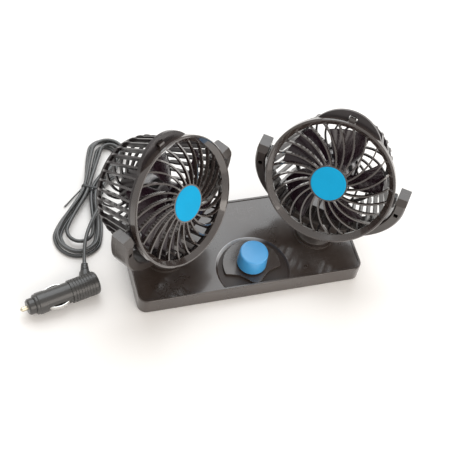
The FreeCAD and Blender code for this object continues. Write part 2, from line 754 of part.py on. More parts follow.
def dome_band():
    """Domed layer that the swirl ribs are trimmed to, from the hub out to the bezel."""
    inner = HUB_R - 2 * RIB_ROOT
    outer = BEZEL_INNER_R + 2 * RIB_ROOT
    middle = (inner + outer) / 2
    hub_back = HUB_FRONT - HUB_T
    rim_back = BEZEL_INNER_FRONT - SWIRL_RIB_DEPTH
    front_middle = (HUB_FRONT + BEZEL_INNER_FRONT) / 2 + DOME_BULGE
    back_middle = (hub_back + rim_back) / 2 + DOME_BULGE
    outline = Part.Wire([
        Part.Arc(V(inner, 0, hub_back), V(middle, 0, back_middle), V(outer, 0, rim_back)).toShape(),
        Part.LineSegment(V(outer, 0, rim_back), V(outer, 0, BEZEL_INNER_FRONT)).toShape(),
        Part.Arc(
            V(outer, 0, BEZEL_INNER_FRONT), V(middle, 0, front_middle), V(inner, 0, HUB_FRONT)
        ).toShape(),
        Part.LineSegment(V(inner, 0, HUB_FRONT), V(inner, 0, hub_back)).toShape(),
    ])
    return Part.Face(outline).revolve(V(0, 0, 0), AXIS_Z, 360)


def bezel():
    """Thin-walled front ring: outer skirt, narrow lip and a rim that slopes in to the ribs."""
    lip_r = BEZEL_R - BEZEL_LIP
    inside_r = BEZEL_R - BEZEL_WALL
    return turned([
        (BEZEL_R, BEZEL_BACK), (BEZEL_R, BEZEL_FRONT - BEZEL_EDGE), (BEZEL_R - BEZEL_EDGE, BEZEL_FRONT),
        (lip_r, BEZEL_FRONT), (BEZEL_INNER_R, BEZEL_INNER_FRONT),
        (BEZEL_INNER_R, BEZEL_INNER_FRONT - BEZEL_WALL), (inside_r, BEZEL_FRONT - BEZEL_WALL),
        (inside_r, BEZEL_BACK),
    ])


def latch_hook():
    """Snap hook at the top of the bezel that goes back through the slot in the finger tab."""
    half = LATCH_W / 2
    leg_low = LATCH_SLOT_R - LATCH_T / 2
    leg_high = LATCH_SLOT_R + LATCH_T / 2
    tip = FLANGE_BACK - LATCH_T
    barb_back = FLANGE_BACK - SEAT_FIT
    arm_back = BEZEL_BACK + SEAT_FIT
    arm = block((-half, half), (BEZEL_R - BEZEL_WALL, leg_high), (arm_back, arm_back + 2 * LATCH_T))
    leg = block((-half, half), (leg_low, leg_high), (tip, BEZEL_BACK + LATCH_T))
    barb = block((-half, half), (leg_low, leg_high + LATCH_BARB), (tip, barb_back))
    return fused([arm, leg, barb])


def front_grille():
    rib = swirl_strip(
        HUB_R - RIB_ROOT, BEZEL_INNER_R + RIB_ROOT, SWIRL_SWEEP_DEG, SWIRL_RIB_T, 0, HUB_FRONT + OVERCUT
    ).common(dome_band())
    hub = disc(HUB_R, HUB_FRONT - HUB_T, HUB_FRONT)
    hub = hub.cut(disc(BADGE_R + SEAT_FIT, HUB_FRONT - BADGE_T, HUB_FRONT + OVERCUT))
    grille = fused([bezel(), hub] + ring_of(rib, SWIRL_RIBS))
    return grille.fuse(latch_hook()).removeSplitter()


def grille_badge():
    """Disc that fills the hub's recess and stands a little proud, with a rounded edge."""
    top = HUB_FRONT + BADGE_PROUD
    badge = disc(BADGE_R, HUB_FRONT - BADGE_T, top)
    return badge.makeFillet(BADGE_ROUND, edges_at(badge, AXIS_Z, top))


def cage_flange():
    """Front flange of the cage, with the crescent finger tab at the top and its latch slot."""
    half_angle = math.radians(TAB_HALF_ANGLE_DEG)
    half_chord = FLANGE_R * math.sin(half_angle)
    rise = TAB_TOP_R - FLANGE_R * math.cos(half_angle)
    tab_r = (half_chord**2 + rise**2) / (2 * rise)
    tab = moved(disc(tab_r, FLANGE_BACK, BEZEL_BACK), V(0, TAB_TOP_R - tab_r, 0))
    plate = disc(FLANGE_R, FLANGE_BACK, BEZEL_BACK).fuse(tab).removeSplitter()
    half_w = LATCH_SLOT_W / 2
    half_h = LATCH_SLOT_H / 2
    low = FLANGE_BACK - OVERCUT
    high = BEZEL_BACK + OVERCUT
    slot = block((-half_w, half_w), (LATCH_SLOT_R - half_h, LATCH_SLOT_R + half_h), (low, high))
    return plate.cut([disc(FLANGE_INNER_R, low, high), slot])


def cage_slat():
    """Fin in a plane through the air flow axis, from the flange round the corner to the back."""
    front = FLANGE_BACK + SLAT_ROOT
    back = -CAGE_BACK
    shoulder = -CAGE_SHOULDER_BACK
    end_r = BACK_RING_R - BACK_RING_W / 2
    inner_r = CAGE_SHOULDER_R - SLAT_DEPTH
    inner_back = back + CAGE_BACK_T
    corner = V(
        end_r + (CAGE_SHOULDER_R - end_r) * CAGE_CORNER_FULLNESS, 0,
        shoulder + (back - shoulder) * CAGE_CORNER_FULLNESS,
    )
    outer_front = V(CAGE_FRONT_R, 0, front)
    outer_shoulder = V(CAGE_SHOULDER_R, 0, shoulder)
    outer_end = V(end_r, 0, back)
    inner_end = V(end_r, 0, inner_back)
    inner_shoulder = V(inner_r, 0, shoulder)
    inner_front = V(CAGE_FRONT_R - SLAT_DEPTH, 0, front)
    outline = Part.Wire([
        Part.LineSegment(outer_front, outer_shoulder).toShape(),
        Part.Arc(outer_shoulder, corner, outer_end).toShape(),
        Part.LineSegment(outer_end, inner_end).toShape(),
        Part.LineSegment(inner_end, inner_shoulder).toShape(),
        Part.LineSegment(inner_shoulder, inner_front).toShape(),
        Part.LineSegment(inner_front, outer_front).toShape(),
    ])
    return moved(Part.Face(outline).extrude(V(0, SLAT_T, 0)), V(0, -SLAT_T / 2, 0))


def motor_cup():
    outer = MOTOR_R + SEAT_FIT + MOTOR_CUP_WALL
    cup = disc(outer, -CAGE_BACK, MOTOR_BACK + MOTOR_CUP_L)
    return cup.cut(disc(MOTOR_R + SEAT_FIT, MOTOR_BACK, MOTOR_BACK + MOTOR_CUP_L + OVERCUT))


def motor_screw_places():
    half = MOTOR_SCREW_SPACING / 2
    return [V(-half, 0, 0), V(half, 0, 0)]


def rear_cage():
    back = -CAGE_BACK
    back_front = back + CAGE_BACK_T
    cup_r = MOTOR_R + SEAT_FIT + MOTOR_CUP_WALL
    rib = swirl_strip(
        cup_r - RIB_ROOT, BACK_RING_R - BACK_RING_W + RIB_ROOT, BACK_SWEEP_DEG, BACK_RIB_T, back, back_front
    )
    pieces = [cage_flange(), hoop(BACK_RING_R, BACK_RING_R - BACK_RING_W, back, back_front), motor_cup()]
    pieces += ring_of(rib, BACK_RIBS)
    pieces += ring_of(turned_about_z(cage_slat(), 180.0 / SLATS), SLATS)
    removed = []
    for side in (-1, 1):
        root = V(side * PIVOT_BOSS_ROOT, 0, 0)
        boss = Part.makeCylinder(PIVOT_BOSS_R, PIVOT_BOSS_FACE - PIVOT_BOSS_ROOT, root, AXIS_X * side)
        pieces.append(boss.cut(disc(FLANGE_INNER_R, -CAGE_BACK, BEZEL_FRONT)))
        hole_start = V(side * (YOKE_INNER_R - PIN_REACH - AXIAL_PLAY), 0, 0)
        removed.append(Part.makeCylinder(PIN_R + RUN_FIT, PIN_REACH + OVERCUT, hole_start, AXIS_X * side))
    for place in motor_screw_places():
        removed.append(moved(disc(SCREW_SHANK_R + SEAT_FIT, back - OVERCUT, MOTOR_BACK + OVERCUT), place))
        removed.append(moved(disc(SCREW_HEAD_R + SEAT_FIT, back - OVERCUT, back + SCREW_HEAD_H), place))
    return fused(pieces).cut(removed)


def motor():
    can = turned([
        (0, MOTOR_BACK), (MOTOR_R, MOTOR_BACK), (MOTOR_R, MOTOR_FRONT - MOTOR_EDGE),
        (MOTOR_R - MOTOR_EDGE, MOTOR_FRONT), (MOTOR_BOSS_R, MOTOR_FRONT),
        (MOTOR_BOSS_R, MOTOR_FRONT + MOTOR_BOSS_L), (0, MOTOR_FRONT + MOTOR_BOSS_L),
    ])
    removed = [disc(SHAFT_R + RUN_FIT, MOTOR_FRONT - SHAFT_SUNK, MOTOR_FRONT + MOTOR_BOSS_L + OVERCUT)]
    for place in motor_screw_places():
        pilot = disc(SCREW_SHANK_R + RUN_FIT, MOTOR_BACK - OVERCUT, MOTOR_BACK + MOTOR_SCREW_GRIP)
        removed.append(moved(pilot, place))
    return can.cut(removed)


def motor_screws():
    seat = -CAGE_BACK + SCREW_HEAD_H
    reach = MOTOR_BACK - seat + MOTOR_SCREW_GRIP - PILOT_SPARE
    return Part.makeCompound([moved(screw(reach), place + V(0, 0, seat)) for place in motor_screw_places()])


def motor_shaft():
    low = MOTOR_FRONT - SHAFT_SUNK + AXIAL_PLAY
    return disc(SHAFT_R, low, IMPELLER_FRONT - IMPELLER_HUB_WALL)


def blade():
    """Twisted blade lofted through flat sections that widen and flatten towards the tip."""
    sections = []
    for radius, chord, pitch, skew in BLADE_STATIONS:
        turn = math.radians(skew)
        tilt = math.radians(pitch)
        tangent = V(-math.sin(turn), math.cos(turn), 0)
        chord_way = tangent * math.cos(tilt) + AXIS_Z * math.sin(tilt)
        thick_way = AXIS_Z * math.cos(tilt) - tangent * math.sin(tilt)
        centre = V(radius * math.cos(turn), radius * math.sin(turn), BLADE_MIDPLANE)
        half_c = chord_way * (chord / 2)
        half_t = thick_way * (BLADE_T / 2)
        corners = [centre - half_c - half_t, centre + half_c - half_t]
        corners += [centre + half_c + half_t, centre - half_c + half_t]
        sections.append(closed_wire(corners))
    loft = Part.makeLoft(sections, True, False)
    return loft.common(disc(IMPELLER_TIP_R, -CAGE_BACK, BEZEL_FRONT))


def impeller():
    low = IMPELLER_FRONT - IMPELLER_HUB_L
    hub = disc(IMPELLER_HUB_R, low, IMPELLER_FRONT)
    hub = hub.makeFillet(IMPELLER_HUB_WALL, edges_at(hub, AXIS_Z, IMPELLER_FRONT))
    inside = IMPELLER_HUB_R - IMPELLER_HUB_WALL
    inner_face = IMPELLER_FRONT - IMPELLER_HUB_WALL
    bore = disc(inside, low - OVERCUT, inner_face)
    stem = disc(IMPELLER_STEM_R, low + IMPELLER_HUB_WALL, inner_face + JOIN)
    wheel = fused([hub] + ring_of(blade(), IMPELLER_BLADES)).cut(bore)
    return fused([wheel, stem]).cut(disc(SHAFT_R + RUN_FIT, low - OVERCUT, inner_face))


# Cord


def bent_route(points, label):
    """Straight runs joined by the largest tangent arcs that fit. Prints each arc's radius."""
    edges = []
    radii = []
    start = points[0]
    for before, corner, after in zip(points, points[1:], points[2:]):
        back = before - corner
        ahead = after - corner
        shorter = min(back.Length, ahead.Length)
        back.normalize()
        ahead.normalize()
        turn = math.pi - back.getAngle(ahead)
        cut = ARC_SHARE * shorter
        radius = cut / math.tan(turn / 2)
        radii.append(round(radius, 1))
        arc_start = corner + back * cut
        arc_end = corner + ahead * cut
        bisector = back + ahead
        bisector.normalize()
        centre = corner + bisector * math.hypot(cut, radius)
        middle = centre - bisector * radius
        edges.append(Part.LineSegment(start, arc_start).toShape())
        edges.append(Part.Arc(arc_start, middle, arc_end).toShape())
        start = arc_end
    edges.append(Part.LineSegment(start, points[-1]).toShape())
    route = Part.Wire(edges)
    print(label, "bend radii", radii, "length", round(route.Length, 1))
    return route


def cord_tube(route, start, heading, label):
    """Faceted tube along a route. Prints its volume against section times length."""
    heading = V(heading)
    heading.normalize()
    across = heading.cross(AXIS_Z)
    across.normalize()
    upward = across.cross(heading)
    corners = []
    for index in range(CORD_FACETS):
        angle = 2 * math.pi * (index + 0.5) / CORD_FACETS
        corners.append(start + across * (CORD_R * math.cos(angle)) + upward * (CORD_R * math.sin(angle)))
    section = closed_wire(corners)
    tube = route.makePipeShell([section], True, False)
    expected = Part.Face(section).Area * route.Length
    print(label, "volume", round(tube.Volume, 1), "section times length", round(expected, 1))
    return tube


def free_stretch(points, label):
    return cord_tube(bent_route(points, label), points[0], points[1] - points[0], label)


def hank_frame(along, across, height):
    """Point of the hank, whose axis runs up from the waist, with across to its right."""
    turn = FreeCAD.Rotation(AXIS_Z, HANK_ANGLE_DEG)
    return HANK_WAIST + turn.multVec(V(along, -across, height))


def hank_knot(sixth):
    """Place and heading at each sixth of a turn: waist, both sides of the lower end, waist,
    and both sides of the upper end."""
    turns = sixth / HANK_KNOTS
    half = HANK_LOOPS / 2
    inset = CORD_PITCH * (turns if turns <= half else HANK_LOOPS - turns)
    climb = min(max((turns - half) / HANK_CLIMB_TURNS + 0.5, 0.0), 1.0)
    height = CORD_R + climb * CORD_PITCH
    phase = sixth % HANK_KNOTS
    side = 1 if phase in (0, 1, 5) else -1
    end = (0, -1, -1, 0, 1, 1)[phase]
    if end == 0:
        along = 0
        across = side * (HANK_WAIST_HALF - inset)
        height += HANK_WAIST_LIFT
    else:
        reach, half_width = (HANK_UPPER_L, HANK_UPPER_HALF) if end > 0 else (HANK_LOWER_L, HANK_LOWER_HALF)
        along = end * (reach - half_width)
        across = side * (half_width - inset)
    here = hank_frame(along, across, height)
    heading = hank_frame(along - side, across, height) - hank_frame(along + side, across, height)
    heading.normalize()
    return here, heading


def biarc(start, heading, end, end_heading):
    """Two arcs that leave one point along its heading and reach the next along its own."""
    chord = end - start
    both = heading + end_heading
    spread = 2 * (1 - heading.dot(end_heading))
    pull = chord.dot(both)
    reach = chord.dot(chord) / (pull + math.sqrt(pull**2 + spread * chord.dot(chord)))
    first = start + heading * reach
    second = end - end_heading * reach
    joint = (first + second) * 0.5
    return [
        arc_from_tangents(start, first, joint),
        arc_from_tangents(joint, second, end),
    ]


def arc_from_tangents(start, corner, end):
    back = start - corner
    ahead = end - corner
    half = back.getAngle(ahead) / 2
    bisector = back + ahead
    bisector.normalize()
    radius = back.Length * math.tan(half)
    centre = corner + bisector * (back.Length / math.cos(half))
    return Part.Arc(start, centre - bisector * radius, end)


def hank_route():
    """Whole hank: loops that spiral in on the floor and out again above, with straight ends."""
    knots = [hank_knot(sixth) for sixth in range(HANK_KNOTS * HANK_LOOPS + 1)]
    first, first_heading = knots[0]
    last, last_heading = knots[-1]
    end_run = CORD_D
    curves = [Part.LineSegment(first - first_heading * end_run, first)]
    for (here, heading), (after, after_heading) in zip(knots, knots[1:]):
        curves += biarc(here, heading, after, after_heading)
    curves.append(Part.LineSegment(last, last + last_heading * end_run))
    return curves


def least_gap(curves):
    """Smallest clear distance between strands, from points set along the route."""
    spacing = 2.0
    samples = []
    walked = 0.0
    for curve in curves:
        count = max(2, int(curve.length() / spacing))
        span = curve.LastParameter - curve.FirstParameter
        for index in range(count):
            point = curve.value(curve.FirstParameter + span * index / count)
            samples.append((walked + curve.length() * index / count, point))
        walked += curve.length()
    near = 12 * CORD_R
    least = float("inf")
    for index, (place, point) in enumerate(samples):
        for other_place, other in samples[index + 1:]:
            if other_place - place > near:
                least = min(least, point.distanceToPoint(other))
    return least - CORD_D


HANK_START, HANK_START_HEADING = hank_knot(0)
HANK_END, HANK_END_HEADING = hank_knot(HANK_KNOTS * HANK_LOOPS)
GLAND_TIP = V(GLAND_X, BASE_WIDTH / 2 + GLAND_FLANGE_T + GLAND_BOOT_L, GLAND_Z)
PLUG_TURN = FreeCAD.Rotation(AXIS_Z, PLUG_ANGLE_DEG)
PLUG_PLACEMENT = FreeCAD.Placement(PLUG_TIP + V(0, 0, PLUG_AXIS_Z), PLUG_TURN)
OUTLET_HEADING = PLUG_TURN.multVec(
    V(math.sin(math.radians(PLUG_OUTLET_LEAN_DEG)), math.cos(math.radians(PLUG_OUTLET_LEAN_DEG)), 0)
)
OUTLET_ROOT = PLUG_PLACEMENT.multVec(V(PLUG_OUTLET_AT, 0, 0))
RELIEF_TIP = OUTLET_ROOT + OUTLET_HEADING * (PLUG_OUTLET_L + PLUG_RELIEF_L)

LEAD_POINTS = [
    GLAND_TIP,
    GLAND_TIP + AXIS_Y * GLAND_RUN,
    *LEAD_WAYPOINTS,
    HANK_START - HANK_START_HEADING * (CORD_D + HANK_RUN_IN),
    HANK_START - HANK_START_HEADING * CORD_D,
]
TAIL_POINTS = [
    HANK_END + HANK_END_HEADING * CORD_D,
    HANK_END + HANK_END_HEADING * (CORD_D + HANK_RUN_OUT),
    *TAIL_WAYPOINTS,
    RELIEF_TIP + OUTLET_HEADING * PLUG_RELIEF_RUN,
    RELIEF_TIP,
]


def cord_gland():
    """Bush in the back wall: a neck with a lip inside, a flange outside and a tapered boot."""
    outside = COVER_WALL
    flange_end = outside + GLAND_FLANGE_T
    tip = flange_end + GLAND_BOOT_L
    body = turned([
        (0, -GLAND_INSIDE_L), (GLAND_LIP_R, -GLAND_INSIDE_L), (GLAND_LIP_R, -SEAT_FIT),
        (GLAND_NECK_R, -SEAT_FIT), (GLAND_NECK_R, outside), (GLAND_FLANGE_R, outside),
        (GLAND_FLANGE_R, flange_end), (GLAND_BOOT_ROOT_R, flange_end), (GLAND_BOOT_END_R, tip), (0, tip),
    ])
    inner_wall = V(GLAND_X, BASE_WIDTH / 2 - COVER_WALL, GLAND_Z)
    return placed(body, FreeCAD.Placement(inner_wall, FreeCAD.Rotation(AXIS_X, -90)))


def cord_hank():
    curves = hank_route()
    print("cord_hank least gap to itself", round(least_gap(curves), 2))
    route = Part.Wire([curve.toShape() for curve in curves])
    print("cord_hank length", round(route.Length, 1))
    return cord_tube(route, curves[0].StartPoint, HANK_START_HEADING, "cord_hank")


def cord_tie():
    """Flat tie round the waist of the hank, with its twisted end on the floor to the left."""
    right = HANK_WAIST_HALF + CORD_R + TIE_CLEAR
    left = right - CORD_PITCH / 2
    low = HANK_WAIST_LIFT - TIE_CLEAR
    high = HANK_WAIST_LIFT + CORD_D + CORD_PITCH + TIE_CLEAR
    corner = CORD_R
    half_w = TIE_W / 2

    def band(grow):
        box = block((-half_w, half_w), (-right - grow, left + grow), (low - grow, high + grow))
        return box.makeFillet(corner + grow, edges_along(box, AXIS_X))

    loop = band(TIE_T).cut(band(0))
    root = V(0, left + TIE_T / 2, low + corner)
    tail = Part.makeCylinder(TIE_TAIL_R, TIE_TAIL_L, root, TIE_TAIL_HEADING)
    tie = loop.fuse(tail).removeSplitter()
    return placed(tie, FreeCAD.Placement(HANK_WAIST, FreeCAD.Rotation(AXIS_Z, HANK_ANGLE_DEG)))


# Lighter plug, drawn along +X from its tip, with the cord outlet towards +Y


def turned_along_x(profile):
    """Solid of revolution about X from a closed (distance, radius) outline."""
    outline = closed_wire([V(distance, radius, 0) for distance, radius in profile])
    return Part.Face(outline).revolve(V(0, 0, 0), AXIS_X, 360)


def rod(radius, start, end):
    return Part.makeCylinder(radius, end - start, V(start, 0, 0), AXIS_X)


TIP_FLANGE_AT = PLUG_TIP_OUT + PLUG_NOSE_WALL
FUSE_AT = TIP_FLANGE_AT + PLUG_TIP_FLANGE_T + PLUG_TIP_TRAVEL + AXIAL_PLAY


def plug_tip():
    """Rounded contact pin with a flange that the nose keeps in."""
    back = TIP_FLANGE_AT + AXIAL_PLAY
    end = back + PLUG_TIP_FLANGE_T
    return turned_along_x([
        (0, 0), (0, PLUG_TIP_R - PLUG_TIP_DOME), (PLUG_TIP_DOME, PLUG_TIP_R), (back, PLUG_TIP_R),
        (back, PLUG_TIP_FLANGE_R), (end, PLUG_TIP_FLANGE_R), (end, 0),
    ])


def plug_nose():
    """Screw-on cap that tapers to the pin and holds the fuse in."""
    end = PLUG_NOSE_END + PLUG_NOSE_SPIGOT_L
    cap = turned_along_x([
        (PLUG_TIP_OUT, 0), (PLUG_TIP_OUT, PLUG_NOSE_BEVEL_R), (PLUG_TIP_OUT + PLUG_NOSE_BEVEL_L, PLUG_NOSE_R),
        (PLUG_NOSE_END, PLUG_NOSE_R), (PLUG_NOSE_END, PLUG_NOSE_SPIGOT_R), (end, PLUG_NOSE_SPIGOT_R),
        (end, 0),
    ])
    pin_hole = rod(PLUG_TIP_R + RUN_FIT, 0, end)
    chamber = rod(PLUG_TIP_FLANGE_R + SEAT_FIT, TIP_FLANGE_AT, end + OVERCUT)
    return cap.cut([pin_hole, chamber])


def contact_slot(side, spare):
    """Slot in the barrel for one side contact, on the left or right of the plug."""
    half = CONTACT_W / 2 + spare
    floor_r = PLUG_BARREL_R - CONTACT_SUNK - CONTACT_T - spare
    y = sorted((side * floor_r, side * (PLUG_BARREL_R + OVERCUT)))
    return block((CONTACT_FROM - spare, CONTACT_FROM + CONTACT_L + spare), y, (-half, half))


def plug_barrel():
    """Barrel that enters the socket, with slots for the side contacts and a fuse chamber."""
    step = PLUG_NOSE_END + PLUG_BARREL_NECK_L
    end = PLUG_BARREL_END + PLUG_BARREL_SPIGOT_L
    edge = PLUG_BARREL_EDGE
    land_end = step + edge + PLUG_LAND_L
    rear_r = PLUG_BARREL_R - PLUG_LAND_STEP
    barrel = turned_along_x([
        (PLUG_NOSE_END, 0), (PLUG_NOSE_END, PLUG_BARREL_NECK_R - edge),
        (PLUG_NOSE_END + edge, PLUG_BARREL_NECK_R), (step, PLUG_BARREL_NECK_R), (step + edge, PLUG_BARREL_R),
        (land_end, PLUG_BARREL_R), (land_end, rear_r), (PLUG_BARREL_END, rear_r),
        (PLUG_BARREL_END, PLUG_BARREL_SPIGOT_R),
        (end, PLUG_BARREL_SPIGOT_R), (end, 0),
    ])
    nose_bore = rod(PLUG_NOSE_SPIGOT_R + RUN_FIT, PLUG_NOSE_END - OVERCUT, PLUG_NOSE_END + PLUG_NOSE_SPIGOT_L)
    chamber = rod(FUSE_R + SEAT_FIT, PLUG_NOSE_END, FUSE_AT + FUSE_L)
    slots = [contact_slot(side, SEAT_FIT) for side in (-1, 1)]
    return barrel.cut([nose_bore, chamber] + slots)


def plug_fuse():
    return rod(FUSE_R, FUSE_AT, FUSE_AT + FUSE_L)


def plug_side_contacts():
    """Two bowed leaf springs, sunk at both ends and proud of the barrel in the middle."""
    low = PLUG_BARREL_R - CONTACT_SUNK - CONTACT_T
    high = low + CONTACT_T
    crest = PLUG_BARREL_R + CONTACT_PROUD
    start = CONTACT_FROM
    middle = start + CONTACT_L / 2
    end = start + CONTACT_L
    outline = Part.Wire([
        Part.Arc(V(start, high, 0), V(middle, crest, 0), V(end, high, 0)).toShape(),
        Part.LineSegment(V(end, high, 0), V(end, low, 0)).toShape(),
        Part.Arc(V(end, low, 0), V(middle, crest - CONTACT_T, 0), V(start, low, 0)).toShape(),
        Part.LineSegment(V(start, low, 0), V(start, high, 0)).toShape(),
    ])
    leaf = moved(Part.Face(outline).extrude(V(0, 0, CONTACT_W)), V(0, 0, -CONTACT_W / 2))
    other = leaf.copy()
    other.rotate(V(0, 0, 0), AXIS_X, 180)
    return Part.makeCompound([leaf, other])


def outlet_placement():
    """Turns a shape drawn along X so that it leaves the handle towards the cord."""
    return FreeCAD.Placement(V(PLUG_OUTLET_AT, 0, 0), FreeCAD.Rotation(AXIS_Z, 90 - PLUG_OUTLET_LEAN_DEG))


def plug_handle():
    """Moulded handle with grip grooves, a rounded end and the angled cord outlet."""
    body = rod(PLUG_HANDLE_R, PLUG_BARREL_END, PLUG_HANDLE_END)
    body = body.makeFillet(PLUG_HANDLE_ROUND, edges_at(body, AXIS_X, PLUG_HANDLE_END))
    outlet = turned_along_x([
        (0, 0), (0, PLUG_OUTLET_ROOT_R), (PLUG_OUTLET_L, PLUG_OUTLET_R), (PLUG_OUTLET_L, 0),
    ])
    spigot_end = PLUG_BARREL_END + PLUG_BARREL_SPIGOT_L
    socket = rod(PLUG_BARREL_SPIGOT_R + SEAT_FIT, PLUG_BARREL_END - OVERCUT, spigot_end)
    grooves = []
    for index in range(PLUG_GRIP_GROOVES):
        start = PLUG_BARREL_END + PLUG_GRIP_FROM + PLUG_GRIP_PITCH * index
        end = start + PLUG_GRIP_GROOVE_W
        floor = rod(PLUG_HANDLE_R - PLUG_GRIP_DEPTH, start, end)
        grooves.append(rod(PLUG_HANDLE_R + OVERCUT, start, end).cut(floor))
    return fused([body.cut(grooves), placed(outlet, outlet_placement())]).cut(socket)


def plug_relief():
    """Tapered strain relief with ring grooves, from the handle's outlet to the cord."""
    cone = turned_along_x([
        (PLUG_OUTLET_L, 0), (PLUG_OUTLET_L, PLUG_RELIEF_ROOT_R),
        (PLUG_OUTLET_L + PLUG_RELIEF_L, PLUG_RELIEF_END_R), (PLUG_OUTLET_L + PLUG_RELIEF_L, 0),
    ])
    grooves = []
    steps = PLUG_RELIEF_RINGS + 1
    for index in range(1, steps):
        share = index / steps
        start = PLUG_OUTLET_L + PLUG_RELIEF_L * share - PLUG_RELIEF_GROOVE_W / 2
        end = start + PLUG_RELIEF_GROOVE_W
        surface_r = PLUG_RELIEF_ROOT_R + (PLUG_RELIEF_END_R - PLUG_RELIEF_ROOT_R) * share
        floor = rod(surface_r - PLUG_RELIEF_GROOVE_DEPTH, start, end)
        grooves.append(rod(PLUG_RELIEF_ROOT_R + OVERCUT, start, end).cut(floor))
    return placed(cone.cut(grooves), outlet_placement())


def build():
    os.makedirs("parts", exist_ok=True)
    save(base_cover(), "base_cover")
    save(base_plate(), "base_plate")
    save(base_screws(), "base_screws")
    save(base_pad(), "base_pad")
    save(speed_switch(), "speed_switch")
    save(switch_nut(), "switch_nut")
    save(control_board(), "control_board")
    save(switch_shaft(), "switch_shaft")
    save(speed_knob(), "speed_knob")

    yoke_pieces = {
        "swivel_neck": swivel_neck(),
        "swivel_washer": swivel_washer(),
        "swivel_screw": swivel_screw(),
        "yoke_front_shell": yoke_front_shell(),
        "yoke_rear_shell": yoke_rear_shell(),
        "yoke_screws": yoke_screws(),
        "pivot_pins": pivot_pins(),
        "pivot_washers": pivot_washers(),
    }
    head_pieces = {
        "front_grille": front_grille(),
        "grille_badge": grille_badge(),
        "rear_cage": rear_cage(),
        "motor": motor(),
        "motor_screws": motor_screws(),
        "motor_shaft": motor_shaft(),
        "impeller": impeller(),
    }
    face_forward = FreeCAD.Rotation(AXIS_X, 90)
    tilt = FreeCAD.Rotation(AXIS_X, -TILT_UP_DEG)
    in_yoke = FreeCAD.Placement(V(0, 0, PIVOT_Z), tilt.multiply(face_forward))
    for side, place, toe_in in zip(("left", "right"), SWIVEL_PLACES, (TOE_IN_DEG, -TOE_IN_DEG)):
        station = FreeCAD.Placement(place, FreeCAD.Rotation(AXIS_Z, toe_in))
        for name, shape in yoke_pieces.items():
            save(placed(shape, station), side + "_" + name)
        for name, shape in head_pieces.items():
            save(placed(shape, station.multiply(in_yoke)), side + "_" + name)

    save(cord_gland(), "cord_gland")
    save(free_stretch(LEAD_POINTS, "cord_lead"), "cord_lead")
    save(cord_hank(), "cord_hank")
    save(free_stretch(TAIL_POINTS, "cord_tail"), "cord_tail")
    save(cord_tie(), "cord_tie")
    plug_pieces = {
        "plug_tip": plug_tip(),
        "plug_nose": plug_nose(),
        "plug_barrel": plug_barrel(),
        "plug_fuse": plug_fuse(),
        "plug_side_contacts": plug_side_contacts(),
        "plug_handle": plug_handle(),
        "plug_relief": plug_relief(),
    }
    for name, shape in plug_pieces.items():
        save(placed(shape, PLUG_PLACEMENT), name)


build()
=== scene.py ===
"""Looks of the dual head car fan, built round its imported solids. Metres, +Z up, -Y towards the user."""

import logging
import math
from dataclasses import dataclass
from enum import Enum
from typing import Callable, Iterable, NamedTuple, Protocol, Sequence

import bmesh
import bpy
from mathutils import Matrix, Vector


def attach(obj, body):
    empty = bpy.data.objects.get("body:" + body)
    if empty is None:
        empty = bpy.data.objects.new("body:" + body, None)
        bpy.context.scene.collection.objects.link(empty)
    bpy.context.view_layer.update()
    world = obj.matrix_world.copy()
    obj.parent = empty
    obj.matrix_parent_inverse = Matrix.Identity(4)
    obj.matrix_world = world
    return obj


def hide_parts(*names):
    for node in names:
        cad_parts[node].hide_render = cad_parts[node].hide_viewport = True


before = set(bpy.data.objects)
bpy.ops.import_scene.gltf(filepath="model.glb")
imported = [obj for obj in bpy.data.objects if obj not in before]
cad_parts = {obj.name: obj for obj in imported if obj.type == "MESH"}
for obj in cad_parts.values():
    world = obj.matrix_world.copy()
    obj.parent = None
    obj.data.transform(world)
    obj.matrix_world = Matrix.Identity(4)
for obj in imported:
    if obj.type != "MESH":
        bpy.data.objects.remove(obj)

LOG = logging.getLogger("car_fan")
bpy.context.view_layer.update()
NODES: dict[str, bpy.types.Object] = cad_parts
MM = 0.001
Colour = tuple[float, float, float, float]
Point = tuple[float, float, float]
Pairs = tuple[tuple[float, float], ...]
Socket = bpy.types.NodeSocket
Inputs = dict[str | int, object]
Ring = list[bmesh.types.BMVert]
MADE_FINISHES: dict[str, bpy.types.Material] = {}


class Side(Enum):
    """One of the two fan stations on the base."""

    LEFT = "left"
    RIGHT = "right"

    @property
    def sign(self) -> int:
        """-1 on the user's left and 1 on the right."""
        return -1 if self is Side.LEFT else 1

    def node(self, piece: str) -> str:
        """Name of this station's own copy of a piece."""
        return f"{self.value}_{piece}"


